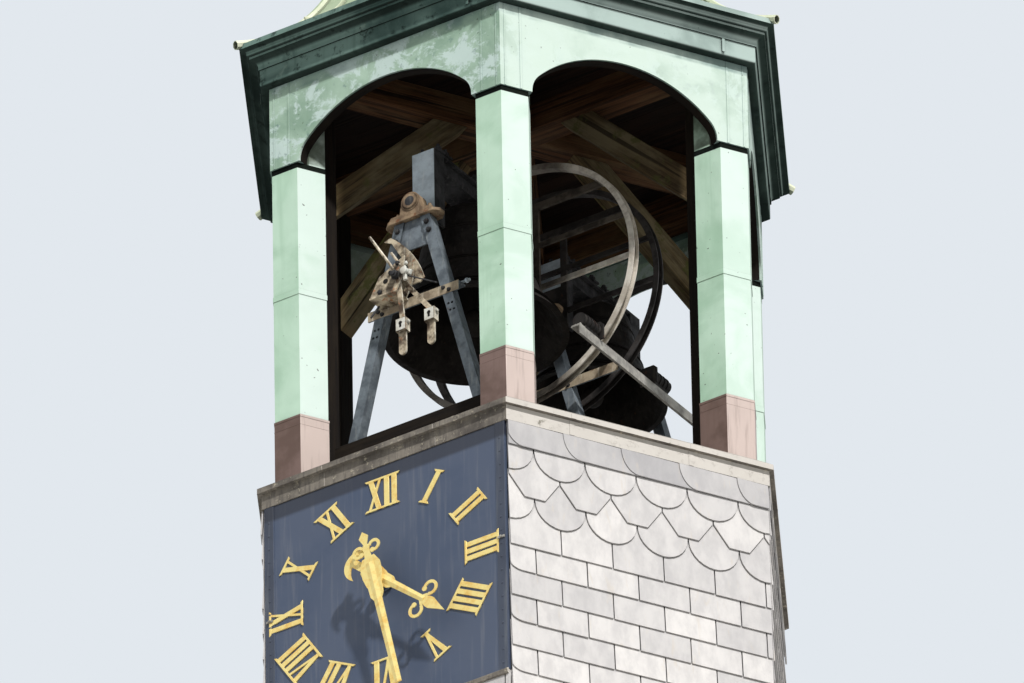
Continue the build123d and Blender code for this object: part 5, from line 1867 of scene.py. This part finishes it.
@dataclass
class BellFrameFittings:
    """Bolts, packing plates, bearing rings, a tie rod and end plates of the three bell frames."""

    frames: tuple[float, ...] = (-1.040, 0.150, 1.210)
    half_depth: float = 0.035
    foot_x: float = 0.418
    head_x: float = 0.084
    foot_z: float = 2.410
    head_z: float = 3.750
    crossbar_z: float = 3.210
    plate_half: float = 0.178
    plate_corner: float = 0.034
    plate_thick: float = 0.018
    crossbar_half: float = 0.0305
    crossbar_proud: float = 0.0015
    bolt: float = 0.0078
    head_bolts: tuple[float, ...] = (3.700, 3.640)
    crossbar_bolts: Pairs = ((-0.016, 3.222), (0.016, 3.198))
    foot_bolts: tuple[float, ...] = (-0.051, 0.051)
    bearing_bolt_x: float = 0.105
    bearing_foot: float = 0.026
    bearing_top: float = 0.150
    bearing_rings: tuple[Triple, ...] = ((0.0515, 0.0575, 0.004), (0.0455, 0.0485, 0.0065))
    nipple: Pairs = (
        (0.0, 0.007), (0.010, 0.007), (0.012, 0.004), (0.020, 0.004),
    )
    rod_start: float = -0.285
    rod_end: float = 0.345
    rod_nuts: tuple[float, ...] = (-0.262, -0.168, 0.168, 0.262, 0.325)
    thread_start: float = 0.275
    thread_pitch: float = 0.0018
    thread_turns: int = 40
    end_plates: Pairs = ((0.600, -0.356), (-0.600, 0.119))
    end_plate_length: float = 0.110
    end_plate_width: float = 0.056
    crossbars: tuple[float, ...] = (0.3005, 0.5705, 0.3005)
    housings: tuple[Triple, ...] = (
        (-1.052, -1.0904, 0.010), (0.131, 0.115, 0.006), (0.169, 0.153, 0.006), (1.210, 1.178, 0.010),
    )

    def leg_x(self, height: float) -> float:
        """Gives the middle of a leg at one height."""
        share = (self.head_z - height) / (self.head_z - self.foot_z)
        return self.head_x + (self.foot_x - self.head_x) * share

    def bolts(self) -> None:
        """Bolts legs, crossbars and feet together."""
        pile = Pile()
        for y in self.frames:
            web = y - self.half_depth
            for side in (-1, 1):
                for up in self.head_bolts:
                    pile.bolt(Vector((side * self.leg_x(up), web, up)), TO_FRONT, self.bolt)
                for across, up in self.crossbar_bolts:
                    seat = Vector((side * self.leg_x(up) + across, web, up))
                    pile.bolt(seat, TO_FRONT, self.bolt * 0.8)
                for across in self.foot_bolts:
                    seat = Vector((side * self.foot_x + across, y, self.foot_z + 0.016))
                    pile.bolt(seat, UP, self.bolt * 0.75, 0.006)
        pile.lay("frame_bolts", DARK_STEEL)

    def heads(self) -> None:
        """Lays the rusty packing plates under the bearings."""
        pile = Pile()
        half, corner = self.plate_half + 0.001, self.plate_corner
        inner, deep = half - corner, self.half_depth + 0.021
        short = deep - corner
        plan = ((-half, -short), (-inner, -deep), (inner, -deep), (half, -short))
        plan += tuple((-x, -y) for x, y in plan)
        for y in self.frames:
            outline = [Vector((x, y + across, self.head_z - 0.001)) for x, across in plan]
            pile.prism(outline, UP * (self.plate_thick + 0.0015))
        pile.lay("bearing_packing_plates", CAST_IRON, bevel=0.001)
        bars = Pile()
        for y, reach in zip(self.frames, self.crossbars):
            low, high = self.crossbar_z - self.crossbar_half, self.crossbar_z + self.crossbar_half
            bars.plate(-reach, reach, low, high, y - self.half_depth, self.crossbar_proud)
        bars.lay("crossbar_faces", BAR_RUST, bevel=0.0005)

    def bearings(self) -> None:
        """Adds the bearings' foot nuts, housing rings and grease nipples."""
        foot = self.head_z + self.plate_thick
        rings, nuts = Pile(), Pile()
        for y, face, size in self.housings:
            for side in (-1, 1):
                seat = Vector((side * self.bearing_bolt_x, y, foot + self.bearing_foot))
                nuts.bolt(seat, UP, size, 0.010)
            nuts.turned(Vector((0.0, y, foot + self.bearing_top)), UP, self.nipple)
            if size > self.bolt:
                for inner, outer, lift in self.bearing_rings:
                    section = [(inner, -0.002), (inner, lift), (outer, lift), (outer, -0.002)]
                    rings.hoop(Vector((0.0, face, AXLE)), section, TO_FRONT, 40)
        rings.lay("bearing_rings", CAST_IRON)
        nuts.lay("bearing_nuts", CAST_IRON)

    def rods(self) -> None:
        """Adds the threaded rod over the front crossbar and the rails' bolted end plates."""
        rod = Pile()
        y, up = self.frames[0] + 0.012, self.crossbar_z + 0.040
        rod.rod(Vector((self.rod_start, y, up)), Vector((self.rod_end, y, up)), 0.008)
        for x in self.rod_nuts:
            rod.disc(Vector((x - 0.006, y, up)), TO_RIGHT, 0.015, 0.012, 6)
        for number in range(self.thread_turns):
            seat = Vector((self.thread_start + number * self.thread_pitch, y, up))
            rod.disc(seat, TO_RIGHT, 0.0088, self.thread_pitch / 2, 12)
        rod.lay("crossbar_tie_rod", PALE_STEEL)
        plates = Pile()
        top = self.crossbar_z
        for x, start in self.end_plates:
            ends = [Vector((x, y, top + 0.004)) for y in (start, start + self.end_plate_length)]
            plates.beam(*ends, self.end_plate_width, 0.007, UP, 0.001)
            for along in (0.022, self.end_plate_length - 0.022):
                for across in (-0.015, 0.015):
                    plates.bolt(Vector((x + across, start + along, top + 0.0075)), UP, 0.005, 0.004)
        plates.lay("rail_end_plates", GALVANISED)

    def build(self) -> None:
        """Builds all of the fittings."""
        self.bolts()
        self.heads()
        self.bearings()
        self.rods()


@dataclass
class BellFittings:
    """What swings with one bell: yoke plate, clamps, strap nuts and the bell's raised bands."""

    body: str
    y: float
    radius: float
    lip: float
    plate_y: float
    beam_top: float
    plate_half: float = 0.0715
    plate_thick: float = 0.004
    plate_drop: float = 0.072
    clamp_gap: float = 0.072
    clamp_reach: float = 0.088
    bolt_x: float = 0.052
    bolt_end: float = 0.068
    strap_reach: float = 0.062
    sunk: float = 0.006
    nut: Pairs = ((0.004, 0.021), (0.021, 0.021), (0.024, 0.017))
    lock_nut: Pairs = ((0.024, 0.020), (0.036, 0.020))
    profile: Pairs = (
        (0.0, 1.0), (0.32, 0.785), (0.66, 0.65), (0.98, 0.585), (1.26, 0.53), (1.4, 0.44), (1.44, 0.22),
    )
    bands: tuple[Triple, ...] = (
        (0.105, 0.018, 0.006), (0.150, 0.010, 0.004), (0.172, 0.010, 0.004), (0.560, 0.008, 0.003),
        (0.585, 0.008, 0.003), (1.030, 0.012, 0.004), (1.065, 0.008, 0.003),
    )

    def width_at(self, up: float) -> float:
        """Gives the bell's outer radius at a height.

        Args:
            up: Height above the lip, as a share of the mouth's radius.

        Returns:
            The radius, as the same share.
        """
        for (low, wide), (high, narrow) in zip(self.profile, self.profile[1:]):
            if low <= up <= high:
                return wide + (narrow - wide) * (up - low) / (high - low)
        return self.profile[-1][1]

    def build(self) -> None:
        """Builds the plate, clamps, nuts and bands."""
        plate = Pile()
        foot, head = AXLE - self.plate_drop, self.beam_top - 0.003
        plate.plate(-self.plate_half, self.plate_half, foot, head, self.plate_y, self.plate_thick)
        plate.lay(f"{self.body}_yoke_plate", PALE_STEEL, self.body, bevel=0.0012)
        nuts = Pile()
        clamp = self.plate_y + self.clamp_gap
        for y in (clamp, clamp + self.clamp_gap):
            ends = [Vector((x, y, self.beam_top + 0.006)) for x in (-self.clamp_reach, self.clamp_reach)]
            nuts.beam(*ends, 0.044, 0.0118, UP, 0.002)
            for x in (-self.bolt_x, self.bolt_x):
                nuts.rod(Vector((x, y, self.beam_top)), Vector((x, y, self.beam_top + self.bolt_end)), 0.010)
        straps = (self.y - self.strap_reach, self.y + self.strap_reach)
        for x in (-self.bolt_x, self.bolt_x):
            for y in (*straps, clamp, clamp + self.clamp_gap):
                seat = Vector((x, y, self.beam_top + 0.012))
                nuts.disc(seat, UP, 0.024, 0.004, 20)
                nuts.turned(seat, UP, self.nut, 6)
                nuts.turned(seat, UP, self.lock_nut, 6)
        nuts.lay(f"{self.body}_yoke_nuts", DARK_STEEL, self.body)
        bands = Pile()
        for up, height, proud in self.bands:
            low, high = up * self.radius, (up * self.radius + height)
            a, b = (self.width_at(z / self.radius) * self.radius for z in (low, high))
            front = [(a + proud, height * 0.2), (b + proud, height * 0.8)]
            section = [(a - self.sunk, 0.0), *front, (b - self.sunk, height)]
            bands.hoop(Vector((0.0, self.y, self.lip + low)), section)
        bands.lay(f"{self.body}_bands", BELL_IRON, self.body)


@dataclass
class GearFittings:
    """Face plates, keyholes, pivots and links of the striking gear."""

    heads: tuple[Triple, ...] = ((-0.002, -1.202, 2.992), (0.156, -1.156, 3.028))
    pivot: Triple = (-0.026, -1.210, 3.320)
    face_half: float = 0.030
    face_rise: float = 0.037
    slot_half: float = 0.0065
    slot_foot: float = -0.020
    slot_head: float = 0.004
    eye: float = 0.011
    eye_rise: float = 0.008
    head_bolt: Triple = (0.033, 0.022, 0.018)
    hub: Triple = (-0.072, 0.0095, -0.010)
    knob_seat: Triple = (0.050, 0.004, 0.016)
    knob: Pairs = ((-0.050, 0.022), (0.004, 0.022), (0.008, 0.012))
    pins: Pairs = ((-0.110, -0.070), (0.010, 0.078), (-0.036, 0.030))
    levers: tuple[tuple[Triple, Triple, float], ...] = (
        ((0.020, 0.030, 0.030), (0.085, 0.030, 0.005), 0.030),
        ((0.046, 0.020, 0.050), (0.052, 0.020, -0.040), 0.022),
        ((0.020, 0.024, 0.066), (0.062, 0.024, 0.074), 0.018),
    )
    rods: tuple[tuple[Triple, Triple, float], ...] = (
        ((0.060, 0.030, -0.010), (0.235, 0.060, -0.105), 0.004),
        ((-0.150, 0.060, -0.120), (-0.178, 0.020, -0.205), 0.006),
    )

    def build(self) -> None:
        """Builds the fittings of the gear."""
        faces, holes, links = Pile(), Pile(), Pile()
        for x, y, z in self.heads:
            for half, low, high, depth, pile in (
                (self.face_half, -self.face_rise, self.face_rise, 0.003, faces),
                (self.slot_half, self.slot_foot, self.slot_head, 0.0042, holes),
            ):
                pile.plate(x - half, x + half, z + low, z + high, y, depth)
            holes.disc(Vector((x, y, z + self.eye_rise)), TO_FRONT, self.eye, 0.0044, 20)
            faces.bolt(Vector((x, y, z)) + Vector(self.head_bolt), TO_RIGHT, 0.006)
        pivot = Vector(self.pivot)
        links.bolt(pivot, TO_FRONT, 0.013, 0.004)
        for x, z in self.pins:
            links.bolt(pivot + Vector((x, 0.010, z)), TO_FRONT, 0.007)
        holes.disc(pivot + Vector(self.hub), TO_FRONT, 0.016, 0.001, 20)
        for start, end, wide in self.levers:
            faces.beam(pivot + Vector(start), pivot + Vector(end), wide, 0.016, TO_FRONT, 0.003)
        faces.turned(pivot + Vector(self.knob_seat), TO_FRONT, self.knob)
        for start, end, radius in self.rods:
            links.rod(pivot + Vector(start), pivot + Vector(end), radius)
        faces.lay("gear_face_plates", HAMMER_PAINT, bevel=0.001)
        holes.lay("gear_keyholes", BELL_IRON)
        links.lay("gear_links", DARK_STEEL)


@dataclass
class Stage:
    """Floor, light and camera: a soft studio with the camera at the picture's angle."""

    width_px: float = 1024.0
    focal_px: float = 21486.6
    turn: float = 32.985
    lift: float = -32.947
    roll: float = -1.099
    distance: float = 118.589
    aim_across: float = -0.045
    aim_up: float = 1.189
    sill_height: float = 2.100
    sun_from: Triple = (0.569, -0.398, 0.719)
    sun_power: float = 3.55
    sun_spread: float = 3.0
    sky_light: float = 0.20
    fill_from: Triple = (-0.8, -0.5, 0.1)
    fill_light: float = 0.14
    fill_spread: float = 60.0
    room_tone: Colour = paint(238, 242, 250)
    backdrop_tone: Colour = paint(226, 232, 238)
    floor_tone: Colour = paint(214, 214, 212)
    floor_half: float = 40.0
    sensor: float = 36.0

    def camera(self) -> None:
        """Places the camera."""
        turn, lift, roll = (math.radians(value) for value in (self.turn, self.lift, self.roll))
        back = Vector((math.sin(turn) * math.cos(lift), -math.cos(turn) * math.cos(lift), math.sin(lift)))
        across = Vector((math.cos(turn), math.sin(turn), 0.0))
        up = back.cross(across)
        place = across * self.aim_across + up * self.aim_up + back * self.distance + UP * self.sill_height
        right = across * math.cos(roll) + up * math.sin(roll)
        top = up * math.cos(roll) - across * math.sin(roll)
        data = bpy.data.cameras.new("camera")
        data.sensor_width = self.sensor
        data.lens = self.focal_px / self.width_px * self.sensor
        data.clip_start = 1.0
        data.clip_end = 600.0
        camera = bpy.data.objects.new("camera", data)
        turned = Matrix((right, top, back)).transposed().to_4x4()
        camera.matrix_world = Matrix.Translation(place) @ turned
        show(camera)
        bpy.context.scene.camera = camera

    def lights(self) -> None:
        """Adds a soft sun from the right front and a weak fill from the left."""
        for name, source, power, spread in (
            ("key", Vector(self.sun_from), self.sun_power, self.sun_spread),
            ("fill", Vector(self.fill_from), self.fill_light, self.fill_spread),
        ):
            data = bpy.data.lights.new(name, "SUN")
            data.energy = power
            data.angle = math.radians(spread)
            lamp = bpy.data.objects.new(name, data)
            lamp.matrix_world = source.to_track_quat("Z", "Y").to_matrix().to_4x4()
            show(lamp)

    def world(self) -> None:
        """Gives the room a plain grey light and a pale backdrop."""
        world = bpy.data.worlds.new("room")
        world.use_nodes = True
        tree = world.node_tree
        output = tree.nodes["World Output"]
        room = tree.nodes["Background"]
        room.inputs["Color"].default_value = self.room_tone
        room.inputs["Strength"].default_value = self.sky_light
        backdrop = tree.nodes.new("ShaderNodeBackground")
        backdrop.inputs["Color"].default_value = self.backdrop_tone
        backdrop.inputs["Strength"].default_value = 1.0
        rays = tree.nodes.new("ShaderNodeLightPath")
        seen = rays.outputs["Is Camera Ray"]
        for ray in ("Is Transmission Ray", "Is Glossy Ray"):
            either = tree.nodes.new("ShaderNodeMath")
            either.operation = "MAXIMUM"
            tree.links.new(seen, either.inputs[0])
            tree.links.new(rays.outputs[ray], either.inputs[1])
            seen = either.outputs[0]
        blend = tree.nodes.new("ShaderNodeMixShader")
        tree.links.new(seen, blend.inputs[0])
        tree.links.new(room.outputs[0], blend.inputs[1])
        tree.links.new(backdrop.outputs[0], blend.inputs[2])
        tree.links.new(blend.outputs[0], output.inputs["Surface"])
        bpy.context.scene.world = world

    def floor(self) -> None:
        """Lays a pale floor that doesn't hide the turret from below."""
        mesh = bpy.data.meshes.new("floor")
        half = self.floor_half
        corners = [(-half, -half, 0.0), (half, -half, 0.0), (half, half, 0.0), (-half, half, 0.0)]
        mesh.from_pydata(corners, [], [(0, 1, 2, 3)])
        material = bpy.data.materials.new("floor")
        material.use_nodes = True
        tree = material.node_tree
        shader = tree.nodes["Principled BSDF"]
        shader.inputs["Base Color"].default_value = self.floor_tone
        shader.inputs["Roughness"].default_value = 0.9
        clear = tree.nodes.new("ShaderNodeBsdfTransparent")
        under = tree.nodes.new("ShaderNodeNewGeometry")
        blend = tree.nodes.new("ShaderNodeMixShader")
        tree.links.new(under.outputs["Backfacing"], blend.inputs[0])
        tree.links.new(shader.outputs[0], blend.inputs[1])
        tree.links.new(clear.outputs[0], blend.inputs[2])
        tree.links.new(blend.outputs[0], tree.nodes["Material Output"].inputs["Surface"])
        mesh.materials.append(material)
        floor = bpy.data.objects.new("floor", mesh)
        show(floor)

    def build(self) -> None:
        """Builds the stage."""
        bpy.context.scene.view_settings.view_transform = "Standard"
        self.camera()
        self.lights()
        self.world()
        self.floor()
        log.info("stage: camera, lights and floor")


SOLID_FINISHES = {
    WALL_BOARD: ("base_wall_",),
    DIAL_PAINT: ("clock_panel",),
    FOLD_PAINT: ("clock_boss",),
    GILT: ("hour_hand", "minute_hand"),
    LEAD: ("sill_band", "sill_cap", "belfry_floor"),
    POST_COPPER: ("post_",),
    FRIEZE_COPPER: ("arch_",),
    CORNICE_COPPER: ("cornice",),
    ROOF_COPPER: ("roof_shell", "hip_rolls", "finial"),
    TIMBER: ("wall_plate", "tie_beams", "knee_braces", "frame_beams"),
    BOARDS: ("belfry_ceiling",),
    FRAME_STEEL: ("bell_frame_",),
    CAST_IRON: ("bell_bearings",),
    GALVANISED: ("side_rails",),
    MOTOR_PAINT: ("bell_motors",),
    GEAR_PAINT: ("strike_hammers",),
    DARK_STEEL: ("large_bell_yoke", "small_bell_yoke"),
    LARGE_WHEEL: ("large_bell_wheel",),
    SMALL_WHEEL: ("small_bell_wheel",),
    BELL_IRON: (LARGE_BELL, SMALL_BELL),
}


def dress_nodes() -> None:
    """Gives every solid the finish that goes with the start of its name, the first that fits."""
    for name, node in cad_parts.items():
        finish = next(finish for finish, starts in SOLID_FINISHES.items() if name.startswith(starts))
        node.data.materials.clear()
        node.data.materials.append(finish.material())
        log.info("%s: %s", name, finish.name)


def main() -> None:
    """Builds the scene."""
    logging.basicConfig(level=logging.INFO, format="%(name)s: %(message)s")
    Stage().build()
    dress_nodes()
    SlateHanging().build()
    ClockFace().build()
    PostSheeting().build()
    FriezeSheeting().build()
    RoofSheeting().build()
    BelfryTimber().build()
    BellFrameFittings().build()
    BellFittings(LARGE_BELL, y=-0.450, radius=0.520, lip=3.320, plate_y=-0.950, beam_top=4.265).build()
    BellFittings(SMALL_BELL, y=0.730, radius=0.420, lip=3.470, plate_y=0.340, beam_top=4.230).build()
    GearFittings().build()


if __name__ == "__main__":
    main()
